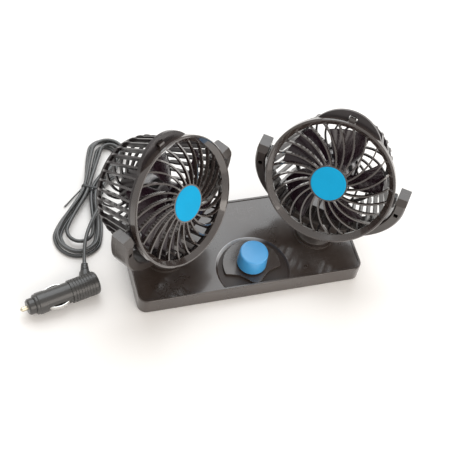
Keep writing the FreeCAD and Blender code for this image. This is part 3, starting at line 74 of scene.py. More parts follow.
class NodeSheet:
    """A node tree with short ways to add and join its nodes."""

    def __init__(self, tree: bpy.types.NodeTree) -> None:
        """Take hold of the tree of a material or a group."""
        self.tree = tree

    def wire(self, node: bpy.types.Node, inputs: Inputs) -> None:
        """Lead outputs to a node's inputs, or set these to plain values.

        Args:
            node: The node.
            inputs: An output, a number or a colour for each input, by its name or index.
        """
        for key, value in inputs.items():
            if isinstance(value, Socket):
                self.tree.links.new(value, node.inputs[key])
            else:
                node.inputs[key].default_value = value

    def add(self, kind: str, inputs: Inputs | None = None, **settings: object) -> bpy.types.Node:
        """Add a node.

        Args:
            kind: Blender's name for the node's type.
            inputs: What its inputs take.
            settings: Values for the node's own properties.

        Returns:
            The new node.
        """
        node = self.tree.nodes.new(kind)
        for name, value in settings.items():
            setattr(node, name, value)
        self.wire(node, inputs or {})
        return node

    def math(self, operation: str, *values: object) -> Socket:
        """Result of an operation, by Blender's name for it, on sockets and numbers."""
        return self.add("ShaderNodeMath", dict(enumerate(values)), operation=operation).outputs[0]

    def remap(self, value: Socket, low: float, high: float, to_low: float = 0.0,
              to_high: float = 1.0) -> Socket:
        """Stretch the range from low to high smoothly over the range from to_low to to_high."""
        ends = {"Value": value, "From Min": low, "From Max": high, "To Min": to_low, "To Max": to_high}
        return self.add("ShaderNodeMapRange", ends, interpolation_type="SMOOTHSTEP").outputs["Result"]

    def blend(self, share: Socket, first: object, second: object) -> Socket:
        """Mix two colours by a mask, which is 0 for the first."""
        return self.add("ShaderNodeMix", {"Factor": share, 6: first, 7: second}, data_type="RGBA").outputs[2]

    def noise(self, place: Socket, scale: object, detail: float = 3.0, rough: float = 0.55) -> Socket:
        """Cloudy noise, given its lumps per metre, its octaves and the share of each finer octave."""
        look = {"Vector": place, "Scale": scale, "Detail": detail, "Roughness": rough}
        return self.add("ShaderNodeTexNoise", look).outputs[0]

    def place(self) -> Socket:
        """The surface point, as the piece itself carries it."""
        return self.add("ShaderNodeTexCoord").outputs["Object"]

    def warped(self, place: Socket, scale: float, reach: float) -> Socket:
        """Push a place vector about by cloudy noise.

        Args:
            place: Vector socket.
            scale: Lumps of the noise per metre.
            reach: Largest push, in metres.

        Returns:
            The pushed vector.
        """
        cloud = self.noise(place, scale, detail=1.0).node.outputs["Color"]
        push = {0: cloud, 1: (reach, reach, reach), 2: place}
        return self.add("ShaderNodeVectorMath", push, operation="MULTIPLY_ADD").outputs[0]

    def stretched(self, place: Socket, scale: Sequence[float], turn_deg: float = 0.0) -> Socket:
        """Stretch a place vector along each axis and turn it about Z."""
        change = {"Vector": place, "Scale": scale, "Rotation": (0.0, 0.0, math.radians(turn_deg))}
        return self.add("ShaderNodeMapping", change).outputs[0]

    def relief(self, shader: bpy.types.Node, height: Socket, depth: float,
               normal: Socket | None = None) -> None:
        """Raise fine relief on a shader.

        Args:
            shader: The shader.
            height: Relief from 0 to 1.
            depth: Its depth, in metres.
            normal: Normal that it starts from, if not the surface's own.
        """
        inputs: Inputs = {"Distance": depth, "Height": height}
        if normal is not None:
            inputs["Normal"] = normal
        self.wire(shader, {"Normal": self.add("ShaderNodeBump", inputs).outputs[0]})


@dataclass(frozen=True)
class EffectGroup:
    """A shader node group that several finishes share, made once and looked up by name.

    Its inputs are numbers with their usual values, and its outputs have their socket types. The inside is
    built by fill, which takes the group's sheet and its input and output nodes.
    """

    name: str
    inputs: dict[str, float]
    outputs: dict[str, str]
    fill: Callable[[NodeSheet, bpy.types.Node, bpy.types.Node], None]

    def tree(self) -> bpy.types.NodeTree:
        """Find the group's node tree, or build it on first use.

        Returns:
            The tree.
        """
        known = bpy.data.node_groups.get(self.name)
        if known is not None:
            return known
        tree = bpy.data.node_groups.new(self.name, "ShaderNodeTree")
        for name, value in self.inputs.items():
            socket = tree.interface.new_socket(name, in_out="INPUT", socket_type="NodeSocketFloat")
            socket.default_value = value
        for name, kind in self.outputs.items():
            tree.interface.new_socket(name, in_out="OUTPUT", socket_type=kind)
        sheet = NodeSheet(tree)
        self.fill(sheet, sheet.add("NodeGroupInput"), sheet.add("NodeGroupOutput"))
        return tree

    def placed(self, sheet: NodeSheet, **values: float) -> bpy.types.Node:
        """Place the group in a material, with the input values that differ from the usual ones."""
        return sheet.add("ShaderNodeGroup", values, node_tree=self.tree())


def fill_moulded_grain(sheet: NodeSheet, given: bpy.types.Node, made: bpy.types.Node) -> None:
    """Fine skin of a moulded piece, and slow drifts in tone.

    Args:
        sheet: The group's sheet.
        given: Its input node, with Grain in lumps per metre.
        made: Its output node.
    """
    place = sheet.place()
    fine = sheet.noise(place, given.outputs["Grain"], detail=4.0, rough=0.5)
    drift = sheet.noise(place, scale=38.0)
    sheet.wire(made, {"Height": fine, "Tone": sheet.remap(drift, low=0.32, high=0.68)})


def fill_scuffs(sheet: NodeSheet, given: bpy.types.Node, made: bpy.types.Node) -> None:
    """Fine curved hairlines of handling, gathered in patches.

    Args:
        sheet: The group's sheet.
        given: Its input node, with Amount from 0 to 1.
        made: Its output node.
    """
    place = sheet.place()
    bent = sheet.warped(place, scale=45.0, reach=0.006)
    layers = []
    for turn_deg, stretch in ((12.0, (5200.0, 55.0, 1800.0)), (-31.0, (48.0, 4600.0, 1800.0))):
        hair = sheet.noise(sheet.stretched(bent, stretch, turn_deg), scale=1.0, detail=0.0)
        layers.append(sheet.remap(hair, low=0.7, high=0.8))
    patches = sheet.remap(sheet.noise(place, scale=22.0, detail=4.0), low=0.5, high=0.72)
    worn = sheet.math("MULTIPLY", sheet.math("MAXIMUM", *layers), patches)
    sheet.wire(made, {"Mask": sheet.math("MULTIPLY", worn, given.outputs["Amount"])})


def fill_dust(sheet: NodeSheet, given: bpy.types.Node, made: bpy.types.Node) -> None:
    """Pale specks and a thin film on faces that look up.

    Args:
        sheet: The group's sheet.
        given: Its input node, with Amount from 0 to 1.
        made: Its output node.
    """
    place = sheet.place()
    normal = sheet.add("ShaderNodeNewGeometry").outputs["Normal"]
    upward = sheet.remap(sheet.add("ShaderNodeSeparateXYZ", {0: normal}).outputs["Z"], low=0.25, high=0.95)
    cells = sheet.add("ShaderNodeTexVoronoi", {"Vector": place, "Scale": 420.0}, feature="F1")
    dots = sheet.remap(cells.outputs["Distance"], low=0.16, high=0.05)
    chosen = sheet.remap(sheet.noise(place, scale=95.0, detail=2.0), low=0.55, high=0.66)
    cloud = sheet.noise(place, scale=60.0, detail=5.0, rough=0.65)
    film = sheet.remap(cloud, low=0.45, high=0.8, to_high=0.5)
    settled = sheet.math("MULTIPLY", sheet.math("MULTIPLY_ADD", dots, chosen, film), upward)
    sheet.wire(made, {"Mask": sheet.math("MULTIPLY", settled, given.outputs["Amount"])})


def fill_soft_edges(sheet: NodeSheet, given: bpy.types.Node, made: bpy.types.Node) -> None:
    """Rounded-over edges, as a normal, and a mask of the edges, which the finishes paint pale as wear and as
    a painted highlight.

    Args:
        sheet: The group's sheet.
        given: Its input node, with Radius in metres.
        made: Its output node.
    """
    rounded = sheet.add("ShaderNodeBevel", {"Radius": given.outputs["Radius"]}, samples=4).outputs[0]
    flat = sheet.add("ShaderNodeNewGeometry").outputs["Normal"]
    dot = sheet.add("ShaderNodeVectorMath", {0: rounded, 1: flat}, operation="DOT_PRODUCT").outputs["Value"]
    sheet.wire(made, {"Edge": sheet.remap(dot, low=0.995, high=0.85), "Normal": rounded})


MOULDED_GRAIN = EffectGroup(
    "moulded_grain", {"Grain": 2600.0}, {"Height": "NodeSocketFloat", "Tone": "NodeSocketFloat"},
    fill_moulded_grain,
)
SCUFFS = EffectGroup("hairline_scuffs", {"Amount": 0.5}, {"Mask": "NodeSocketFloat"}, fill_scuffs)
DUST = EffectGroup("settled_dust", {"Amount": 0.5}, {"Mask": "NodeSocketFloat"}, fill_dust)
SOFT_EDGES = EffectGroup(
    "soft_edges", {"Radius": 0.0004}, {"Edge": "NodeSocketFloat", "Normal": "NodeSocketVector"},
    fill_soft_edges,
)


def shaded(colour: Colour, factor: float) -> Colour:
    """A colour made darker or paler by a factor."""
    return tuple(channel * factor for channel in colour[:3]) + (1.0,)


def blank_material(name: str) -> tuple[bpy.types.Material, NodeSheet, bpy.types.Node]:
    """Start a material with only a shader and an output.

    Args:
        name: Name of the material.

    Returns:
        The material, its node sheet and its shader.
    """
    made = bpy.data.materials.new(name)
    made.use_nodes = True
    made.node_tree.nodes.clear()
    sheet = NodeSheet(made.node_tree)
    shader = sheet.add("ShaderNodeBsdfPrincipled")
    sheet.add("ShaderNodeOutputMaterial", {"Surface": shader.outputs[0]})
    return made, sheet, shader


@dataclass(frozen=True)
class DialPocket:
    """Painted light in the pocket round the knob: a painted highlight on the rim's slope at the back left,
    and painted shade on a dull floor. Metres.
    """

    centre: tuple[float, float]
    rim_radius: float
    slope: float
    floor_height: float
    front_edge: float
    highlight_heading_deg: float
    # Painted highlight colour for the rim's back left slope.
    painted_highlight_colour: Colour
    # Painted shade colour for the pocket's floor.
    floor_colour: Colour
    floor_roughness: float
    soft: float = 0.0004

    def masks(self, sheet: NodeSheet) -> tuple[Socket, Socket]:
        """Where the rim's slope takes its painted highlight and where the floor takes its painted shade.

        Args:
            sheet: The material's sheet.

        Returns:
            The mask of the rim's painted highlight and the mask of the floor's painted shade.
        """
        parts = sheet.add("ShaderNodeSeparateXYZ", {0: sheet.place()}).outputs
        offsets = [sheet.math("SUBTRACT", parts[axis], middle) for axis, middle in zip("XY", self.centre)]
        reach = sheet.math("SQRT", sheet.math("ADD", *(sheet.math("MULTIPLY", off, off) for off in offsets)))
        heading = math.radians(self.highlight_heading_deg)
        shares = zip(offsets, (math.cos(heading), math.sin(heading)))
        towards = sheet.math("ADD", *(sheet.math("MULTIPLY", off, share) for off, share in shares))
        # Painted highlight: only the side of the rim that faces the heading.
        highlight_side = sheet.remap(sheet.math("DIVIDE", towards, reach), low=0.5, high=0.92)
        foot = self.rim_radius - self.slope
        band = sheet.math("MULTIPLY", sheet.remap(reach, foot - self.soft, foot + self.soft),
                          sheet.remap(reach, self.rim_radius + 2 * self.soft, self.rim_radius))
        # Painted shade: the sunk floor inside the slope's foot.
        sunk = sheet.remap(parts["Z"], self.floor_height + self.soft, self.floor_height)
        inside = sheet.math("MULTIPLY", sheet.remap(reach, foot + self.soft, foot - self.soft),
                            sheet.remap(parts["Y"], self.front_edge - self.soft, self.front_edge))
        return sheet.math("MULTIPLY", band, highlight_side), sheet.math("MULTIPLY", sunk, inside)


@dataclass(frozen=True)
class MouldedPlastic:
    """Moulded plastic with fine grain, softened edges, hairlines and dust. Its edges are painted pale, partly
    as wear and partly as a painted highlight.
    """

    name: str
    colour: Colour
    marks_dust_and_highlight_colour: Colour
    roughness: float
    grain: float = 2600.0
    grain_depth: float = 0.000012
    edge_radius: float = 0.0004
    edge_wear_and_highlight: float = 0.35
    scuffs: float = 0.4
    scuff_roughness: float = 0.12
    dust: float = 0.25
    dust_roughness: float = 0.45
    ior: float = 1.53
    gloss: float = 0.5
    coat: float = 0.0
    coat_roughness: float = 0.06
    coat_ior: float = 1.5
    tone_drift: float = 0.2
    tone_roughness: float = 0.08
    pocket: DialPocket | None = None

    def material(self) -> bpy.types.Material:
        """Build the finish.

        Returns:
            The material.
        """
        made, sheet, shader = blank_material(self.name)
        grain = MOULDED_GRAIN.placed(sheet, Grain=self.grain).outputs
        scuffs = SCUFFS.placed(sheet, Amount=self.scuffs).outputs["Mask"]
        dust = DUST.placed(sheet, Amount=self.dust).outputs["Mask"]
        edges = SOFT_EDGES.placed(sheet, Radius=self.edge_radius).outputs
        toned = sheet.blend(grain["Tone"], shaded(self.colour, 1.0 - self.tone_drift), self.colour)
        # Pale edges: partly wear, partly a painted highlight along every edge.
        marks_and_edge_highlight = sheet.math("MAXIMUM", scuffs, sheet.math("MULTIPLY", edges["Edge"], self.edge_wear_and_highlight))
        worn = sheet.blend(sheet.math("MAXIMUM", marks_and_edge_highlight, dust), toned, self.marks_dust_and_highlight_colour)
        rough = sheet.math("MULTIPLY_ADD", grain["Tone"], self.tone_roughness, self.roughness)
        rough = sheet.math("MULTIPLY_ADD", scuffs, self.scuff_roughness, rough)
        rough = sheet.math("MULTIPLY_ADD", dust, self.dust_roughness, rough)
        coat = self.coat
        if self.pocket is not None:
            # Painted light in the dial pocket: painted shade on its floor, then a painted highlight on its
            # rim.
            rim, floor = self.pocket.masks(sheet)
            worn = sheet.blend(floor, worn, self.pocket.floor_colour)
            # Painted highlight on the pocket's rim.
            worn = sheet.blend(rim, worn, self.pocket.painted_highlight_colour)
            rough = sheet.math("MAXIMUM", rough, sheet.math("MULTIPLY", floor, self.pocket.floor_roughness))
            coat = sheet.math("MULTIPLY_ADD", floor, -self.coat, self.coat)
        sheet.relief(shader, grain["Height"], self.grain_depth, edges["Normal"])
        sheet.wire(shader, {
            "Base Color": worn, "Roughness": rough, "IOR": self.ior, "Specular IOR Level": self.gloss,
            "Coat Weight": coat, "Coat Roughness": self.coat_roughness, "Coat IOR": self.coat_ior,
        })
        return made


@dataclass(frozen=True)
class PlatedMetal:
    """Drawn or turned metal with fine brushing and a little tarnish."""

    name: str
    colour: Colour
    tarnish: Colour
    roughness: float
    brush: tuple[float, float, float] = (900.0, 900.0, 60.0)
    brush_depth: float = 0.00001
    brush_roughness: float = 0.22
    tarnish_roughness: float = 0.15
    edge_radius: float = 0.0002

    def material(self) -> bpy.types.Material:
        """Build the finish.

        Returns:
            The material.
        """
        made, sheet, shader = blank_material(self.name)
        place = sheet.place()
        lines = sheet.noise(sheet.stretched(place, self.brush), scale=2.0, detail=2.0)
        spots = sheet.remap(sheet.noise(place, scale=180.0, detail=4.0), low=0.5, high=0.75)
        edges = SOFT_EDGES.placed(sheet, Radius=self.edge_radius).outputs
        rough = sheet.math("MULTIPLY_ADD", lines, self.brush_roughness, self.roughness)
        rough = sheet.math("MULTIPLY_ADD", spots, self.tarnish_roughness, rough)
        sheet.relief(shader, lines, self.brush_depth, edges["Normal"])
        worn = sheet.blend(spots, self.colour, self.tarnish)
        sheet.wire(shader, {"Base Color": worn, "Roughness": rough, "Metallic": 1.0})
        return made


@dataclass(frozen=True)
class FlexibleVinyl:
    """Soft jacket: mottled, with a powdery bloom and, where it is coated, a shine along the strands."""

    name: str
    colour: Colour
    bloom: Colour
    roughness: float
    coat: float = 0.0
    coat_roughness: float = 0.12
    grain: float = 1800.0
    grain_depth: float = 0.00002
    grain_roughness: float = 0.15
    dust: float = 0.12
    dust_colour: Colour = (0.35, 0.34, 0.33, 1.0)
    sheen: float = 0.08

    def material(self) -> bpy.types.Material:
        """Build the finish.

        Returns:
            The material.
        """
        made, sheet, shader = blank_material(self.name)
        grain = MOULDED_GRAIN.placed(sheet, Grain=self.grain).outputs
        dust = DUST.placed(sheet, Amount=self.dust).outputs["Mask"]
        mottled = sheet.blend(grain["Tone"], self.colour, self.bloom)
        sheet.relief(shader, grain["Height"], self.grain_depth)
        sheet.wire(shader, {
            "Base Color": sheet.blend(dust, mottled, self.dust_colour),
            "Roughness": sheet.math("MULTIPLY_ADD", grain["Height"], self.grain_roughness, self.roughness),
            "Sheen Weight": self.sheen, "Coat Weight": self.coat, "Coat Roughness": self.coat_roughness,
        })
        return made


@dataclass(frozen=True)
class StuddedRubber:
    """Non-slip rubber with a close grid of small domes and pale grime."""

    name: str
    colour: Colour
    pitch: float = 0.003
    dome_height: float = 0.0004
    roughness: float = 0.72
    grime_tone: float = 1.8
    grime_roughness: float = 0.1

    def material(self) -> bpy.types.Material:
        """Build the finish.

        Returns:
            The material.
        """
        made, sheet, shader = blank_material(self.name)
        place = sheet.place()
        grid = {"Vector": place, "Randomness": 0.0, "Scale": 1.0 / self.pitch}
        domes = sheet.add("ShaderNodeTexVoronoi", grid, feature="F1").outputs["Distance"]
        grime = sheet.remap(sheet.noise(place, scale=70.0, detail=4.0), low=0.45, high=0.75)
        sheet.relief(shader, sheet.remap(domes, low=0.42, high=0.1), self.dome_height)
        sheet.wire(shader, {
            "Base Color": sheet.blend(grime, self.colour, shaded(self.colour, self.grime_tone)),
            "Roughness": sheet.math("MULTIPLY_ADD", grime, self.grime_roughness, self.roughness),
        })
        return made


@dataclass(frozen=True)
class PrintedBoard:
    """Green circuit board with copper tracks under its lacquer."""

    name: str
    lacquer: Colour
    track: Colour
    tracks_per_metre: float = 90.0
    track_width: float = 0.06
    roughness: float = 0.25
    roughness_drift: float = 0.2

    def material(self) -> bpy.types.Material:
        """Build the finish.

        Returns:
            The material.
        """
        made, sheet, shader = blank_material(self.name)
        place = sheet.place()
        layout = {"Vector": place, "Scale": self.tracks_per_metre, "Mortar Size": self.track_width}
        tracks = sheet.add("ShaderNodeTexBrick", layout, offset=0.35).outputs["Fac"]
        lines = sheet.math("MULTIPLY", tracks, sheet.remap(sheet.noise(place, scale=60.0), low=0.4, high=0.5))
        waves = sheet.noise(place, scale=300.0)
        sheet.wire(shader, {
            "Base Color": sheet.blend(lines, self.lacquer, self.track),
            "Roughness": sheet.math("MULTIPLY_ADD", waves, self.roughness_drift, self.roughness),
        })
        return made


@dataclass(frozen=True)
class ClearGlass:
    """Thin glass tube with faint waviness."""

    name: str
    colour: Colour = (0.9, 0.93, 0.94, 1.0)
    roughness: float = 0.03
    wave_depth: float = 0.00003

    def material(self) -> bpy.types.Material:
        """Build the finish.

        Returns:
            The material.
        """
        made, sheet, shader = blank_material(self.name)
        sheet.relief(shader, sheet.noise(sheet.place(), scale=240.0), self.wave_depth)
        clear = {"Base Color": self.colour, "Roughness": self.roughness, "Transmission Weight": 1.0}
        sheet.wire(shader, clear)
        return made


HOUSING = MouldedPlastic(
    "housing_black", (0.038, 0.027, 0.023, 1.0), (0.22, 0.185, 0.165, 1.0), 0.2, scuffs=0.25, dust=0.04,
    coat=0.95, coat_ior=1.68,
)
YOKE = MouldedPlastic(
    "yoke_black", (0.036, 0.027, 0.023, 1.0), (0.22, 0.19, 0.17, 1.0), 0.32, edge_radius=0.0007, scuffs=0.25,
    dust=0.05, coat=0.6, coat_roughness=0.12,
)
CAGE = MouldedPlastic(
    "cage_black", (0.020, 0.014, 0.015, 1.0), (0.15, 0.13, 0.13, 1.0), 0.26, scuffs=0.2, dust=0.04, coat=0.35
)
BASE_TOP = MouldedPlastic(
    "base_black", (0.042, 0.029, 0.023, 1.0), (0.30, 0.29, 0.28, 1.0), 0.26, scuffs=0.3, dust=0.08, coat=0.7,
    coat_roughness=0.12,
    # The dial pocket gets a painted highlight on the rim's back left slope and painted shade on its floor.
    pocket=DialPocket(
        centre=(0.004, -0.0312), rim_radius=0.0356, slope=0.0022, floor_height=0.0158, front_edge=-0.0472,
        highlight_heading_deg=110.0, painted_highlight_colour=(0.62, 0.62, 0.63, 1.0), floor_colour=(0.024, 0.014, 0.010, 1.0),
        floor_roughness=0.5,
    ),
)
HIDDEN = MouldedPlastic("underside_black", (0.030, 0.029, 0.028, 1.0), (0.14, 0.14, 0.14, 1.0), 0.5)
BLADE = MouldedPlastic(
    "blade_smoked", (0.018, 0.006, 0.012, 1.0), (0.10, 0.07, 0.085, 1.0), 0.2, scuffs=0.2, dust=0.05, coat=0.1
)
# The knob's wide soft edges are painted pale blue: partly wear, partly a painted highlight along its rim.
KNOB = MouldedPlastic(
    "knob_satin_blue", (0.058, 0.340, 0.690, 1.0), (0.50, 0.78, 0.98, 1.0), 0.3, edge_radius=0.0011,
    scuffs=0.12, dust=0.04, coat=0.5, coat_roughness=0.24, tone_drift=0.06,
)
BADGE = MouldedPlastic(
    "badge_satin_blue", (0.008, 0.365, 0.660, 1.0), (0.12, 0.46, 0.74, 1.0), 0.55, scuffs=0.1, dust=0.02,
    tone_drift=0.05, gloss=0.08,
)
PLUG = MouldedPlastic(
    "plug_satin_black", (0.040, 0.038, 0.036, 1.0), (0.19, 0.18, 0.17, 1.0), 0.3, scuffs=0.3, dust=0.08,
    coat=0.25,
)
NYLON = MouldedPlastic("nylon_natural", (0.70, 0.69, 0.65, 1.0), (0.55, 0.53, 0.5, 1.0), 0.5)
STEEL = PlatedMetal("steel_plated", (0.62, 0.62, 0.63, 1.0), (0.42, 0.41, 0.39, 1.0), 0.22)
MOTOR_CAN = PlatedMetal("motor_can_plated", (0.45, 0.45, 0.46, 1.0), (0.30, 0.29, 0.28, 1.0), 0.28)
BRASS = PlatedMetal("pin_plated_brass", (0.68, 0.62, 0.48, 1.0), (0.46, 0.41, 0.31, 1.0), 0.24)
NICKEL = PlatedMetal("nickel_contact", (0.75, 0.74, 0.71, 1.0), (0.55, 0.53, 0.48, 1.0), 0.16)
CORD_JACKET = FlexibleVinyl(
    "cord_jacket", (0.017, 0.018, 0.018, 1.0), (0.034, 0.036, 0.036, 1.0), 0.3, coat=0.9
)
TIE_COAT = FlexibleVinyl("tie_coat", (0.024, 0.025, 0.026, 1.0), (0.045, 0.046, 0.048, 1.0), 0.35)
PAD = StuddedRubber("pad_studded_rubber", (0.022, 0.022, 0.022, 1.0))
BOARD = PrintedBoard("board_green", (0.02, 0.12, 0.05, 1.0), (0.05, 0.24, 0.10, 1.0))
GLASS = ClearGlass("fuse_clear_glass")


class Finish(Protocol):
    """Anything that can make its own material."""

    name: str

    def material(self) -> bpy.types.Material:
        """Build the material."""


Finishes = tuple[tuple[str, Finish], ...]


def dress(finish: Finish, *pieces: bpy.types.Object) -> None:
    """Give pieces one finish.

    Args:
        finish: The finish, whose material is made on first use.
        pieces: Mesh or curve objects.
    """
    if finish.name not in MADE_FINISHES:
        MADE_FINISHES[finish.name] = finish.material()
    for piece in pieces:
        piece.data.materials.clear()
        piece.data.materials.append(MADE_FINISHES[finish.name])
        LOG.info("%s in %s", piece.name, finish.name)


def put(name: str, data: bpy.types.ID) -> bpy.types.Object:
    """Add an object to the scene.

    Args:
        name: Its name.
        data: Its mesh, curve, lamp or lens.

    Returns:
        The new object.
    """
    thing = bpy.data.objects.new(name, data)
    bpy.context.scene.collection.objects.link(thing)
    return thing


def add_piece(shape: bpy.types.ID, finish: Finish, body: str, slot: str, *replaced: str) -> bpy.types.Object:
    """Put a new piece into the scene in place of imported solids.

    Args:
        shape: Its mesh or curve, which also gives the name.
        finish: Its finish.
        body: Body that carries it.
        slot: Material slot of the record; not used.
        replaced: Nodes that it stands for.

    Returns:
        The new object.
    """
    piece = put(shape.name, shape)
    dress(finish, piece)
    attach(piece, body)
    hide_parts(*replaced)
    return piece


class MeshDraft:
    """A mesh in the making, drawn in millimetres."""

    def __init__(self) -> None:
        """Start with nothing."""
        self.sheet = bmesh.new()

    def loop(self, points: Iterable[Vector]) -> Ring:
        """Set the points of a closed ring."""
        return [self.sheet.verts.new(point * MM) for point in points]

    def rings(self, place: Matrix, outline: Iterable[tuple[float, float]], facets: int) -> list[Ring]:
        """Set the rings of a turned form.

        Args:
            place: Frame whose +Z is the form's axis.
            outline: Radius and height of each ring.
            facets: Points in a ring.

        Returns:
            The rings in order.
        """
        turns = [2 * math.pi * index / facets for index in range(facets)]
        rings = []
        for radius, height in outline:
            points = [Vector((radius * math.cos(turn), radius * math.sin(turn), height)) for turn in turns]
            rings.append(self.loop(place @ point for point in points))
        return rings

    def skin(self, rings: Sequence[Ring]) -> None:
        """Join closed rings of as many points, one to the next.

        Args:
            rings: The rings in order.
        """
        for lower, upper in zip(rings, rings[1:]):
            for index in range(len(lower)):
                after = (index + 1) % len(lower)
                self.sheet.faces.new((lower[index], lower[after], upper[after], upper[index]))

    def cap(self, ring: Ring) -> None:
        """Close a ring with one face."""
        self.sheet.faces.new(ring)

    def solid(self, rings: Sequence[Ring]) -> None:
        """Join closed rings and close both ends.

        Args:
            rings: The rings in order.
        """
        self.skin(rings)
        self.cap(rings[0])
        self.cap(rings[-1])

    def fill_between(self, outer: Ring, inner: Ring) -> None:
        """Close the flat space between two rings.

        Args:
            outer: The larger ring.
            inner: The ring inside it.
        """
        edges = []
        for ring in (outer, inner):
            for index, corner in enumerate(ring):
                edges.append(self.sheet.edges.get((corner, ring[(index + 1) % len(ring)])))
        bmesh.ops.triangle_fill(self.sheet, use_beauty=True, edges=edges)

    def finished(self, name: str, crease_deg: float) -> bpy.types.Mesh:
        """Turn the draft into a mesh.

        Args:
            name: Name of the mesh.
            crease_deg: Edges that fold by more than this stay sharp.

        Returns:
            The mesh, in metres.
        """
        bmesh.ops.recalc_face_normals(self.sheet, faces=self.sheet.faces)
        mesh = bpy.data.meshes.new(name)
        self.sheet.to_mesh(mesh)
        self.sheet.free()
        mesh.shade_smooth()
        mesh.set_sharp_from_angle(angle=math.radians(crease_deg))
        return mesh


@dataclass
class CrossHeadScrews:
    """A set of pan head screws with cross recesses. Lengths in millimetres.

    The head's profile is in shares of its radius and height, from its underside up.
    """

    name: str
    body: str
    places: list[Matrix]
    shank_length: float = 7.0
    shank_radius: float = 1.3
    point_radius: float = 0.52
    thread_pitch: float = 0.7
    thread_depth: float = 0.2
    head_radius: float = 2.5
    head_height: float = 1.2
    head_profile: Pairs = ((1.0, 0.0), (1.0, 0.4), (0.94, 0.75), (0.72, 1.0))
    recess_reach: float = 1.35
    recess_half: float = 0.36
    recess_depth: float = 0.75
    recess_taper: float = 0.72
    facets: int = 24

    def cross(self, share: float, height: float) -> list[Vector]:
        """Corners of the cross recess.

        Args:
            share: Share of its size that it has there.
            height: Height above the head's underside.

        Returns:
            The corners in order.
        """
        reach = self.recess_reach * share
        half = self.recess_half * share
        arm = [(reach, -half), (reach, half), (half, half)]
        corners = [Matrix.Rotation(math.radians(90 * quarter), 2) @ Vector(corner)
                   for quarter in range(4) for corner in arm]
        return [Vector((corner.x, corner.y, height)) for corner in corners]

    def draw(self, draft: MeshDraft, place: Matrix) -> None:
        """Draw one screw.

        Args:
            draft: Mesh to draw it in.
            place: Its place, with the underside of the head at the origin and the head towards +Z.
        """
        profile = [(self.point_radius, -self.shank_length)]
        steps = int(2 * (self.shank_length - self.thread_pitch) / self.thread_pitch)
        for step in range(steps + 1):
            depth = self.thread_depth if step % 2 == 0 else 0.0
            height = -self.shank_length + self.thread_pitch * (1 + step / 2)
            profile.append((self.shank_radius - depth, height))
        profile.append((self.shank_radius, 0.0))
        profile += [(self.head_radius * wide, self.head_height * high) for wide, high in self.head_profile]
        rings = draft.rings(place, profile, self.facets)
        draft.skin(rings)
        draft.cap(rings[0])
        floor = self.head_height - self.recess_depth
        mouth = draft.loop(place @ point for point in self.cross(1.0, self.head_height))
        pit = draft.loop(place @ point for point in self.cross(self.recess_taper, floor))
        draft.skin([mouth, pit])
        draft.cap(pit)
        draft.fill_between(rings[-1], mouth)

    def build(self) -> bpy.types.Object:
        """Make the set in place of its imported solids.

        Returns:
            The screws, as one object.
        """
        draft = MeshDraft()
        for place in self.places:
            self.draw(draft, place)
        mesh = draft.finished(self.name + "_cross_head", crease_deg=35.0)
        return add_piece(mesh, STEEL, self.body, "steel", self.name)


@dataclass
class BaseHousing:
    """Flat base: cover, floor plate, rubber pad and the screws under it. Lengths in millimetres."""

    screw_x: float = 101.0
    screw_y: float = 40.75
    screw_seat: float = 2.2
    finishes: Finishes = (("base_cover", BASE_TOP), ("base_plate", HIDDEN), ("base_pad", PAD))

    def screws(self) -> CrossHeadScrews:
        """Screws that hold the floor plate, heads down.

        Returns:
            The set.
        """
        down = Matrix.Rotation(math.pi, 4, "X")
        places = [Matrix.Translation((x, y, self.screw_seat)) @ down
                  for x in (-self.screw_x, self.screw_x) for y in (-self.screw_y, self.screw_y)]
        return CrossHeadScrews("base_screws", "base", places)

    def build(self) -> None:
        """Dress the base and make its screws."""
        for node, finish in self.finishes:
            dress(finish, NODES[node])
        self.screws().build()


@dataclass
class SpeedControl:
    """Blue knob, and the switch, nut, board and shaft under it."""

    finishes: Finishes = (
        ("speed_knob", KNOB), ("speed_switch", HIDDEN), ("control_board", BOARD), ("switch_nut", STEEL),
        ("switch_shaft", STEEL),
    )

    def build(self) -> None:
        """Dress the control's pieces."""
        for node, finish in self.finishes:
            dress(finish, NODES[node])


class BladeStation(NamedTuple):
    """A blade's chord, pitch and skew at one radius. Millimetres and degrees."""

    radius: float
    chord: float
    pitch_deg: float
    skew_deg: float


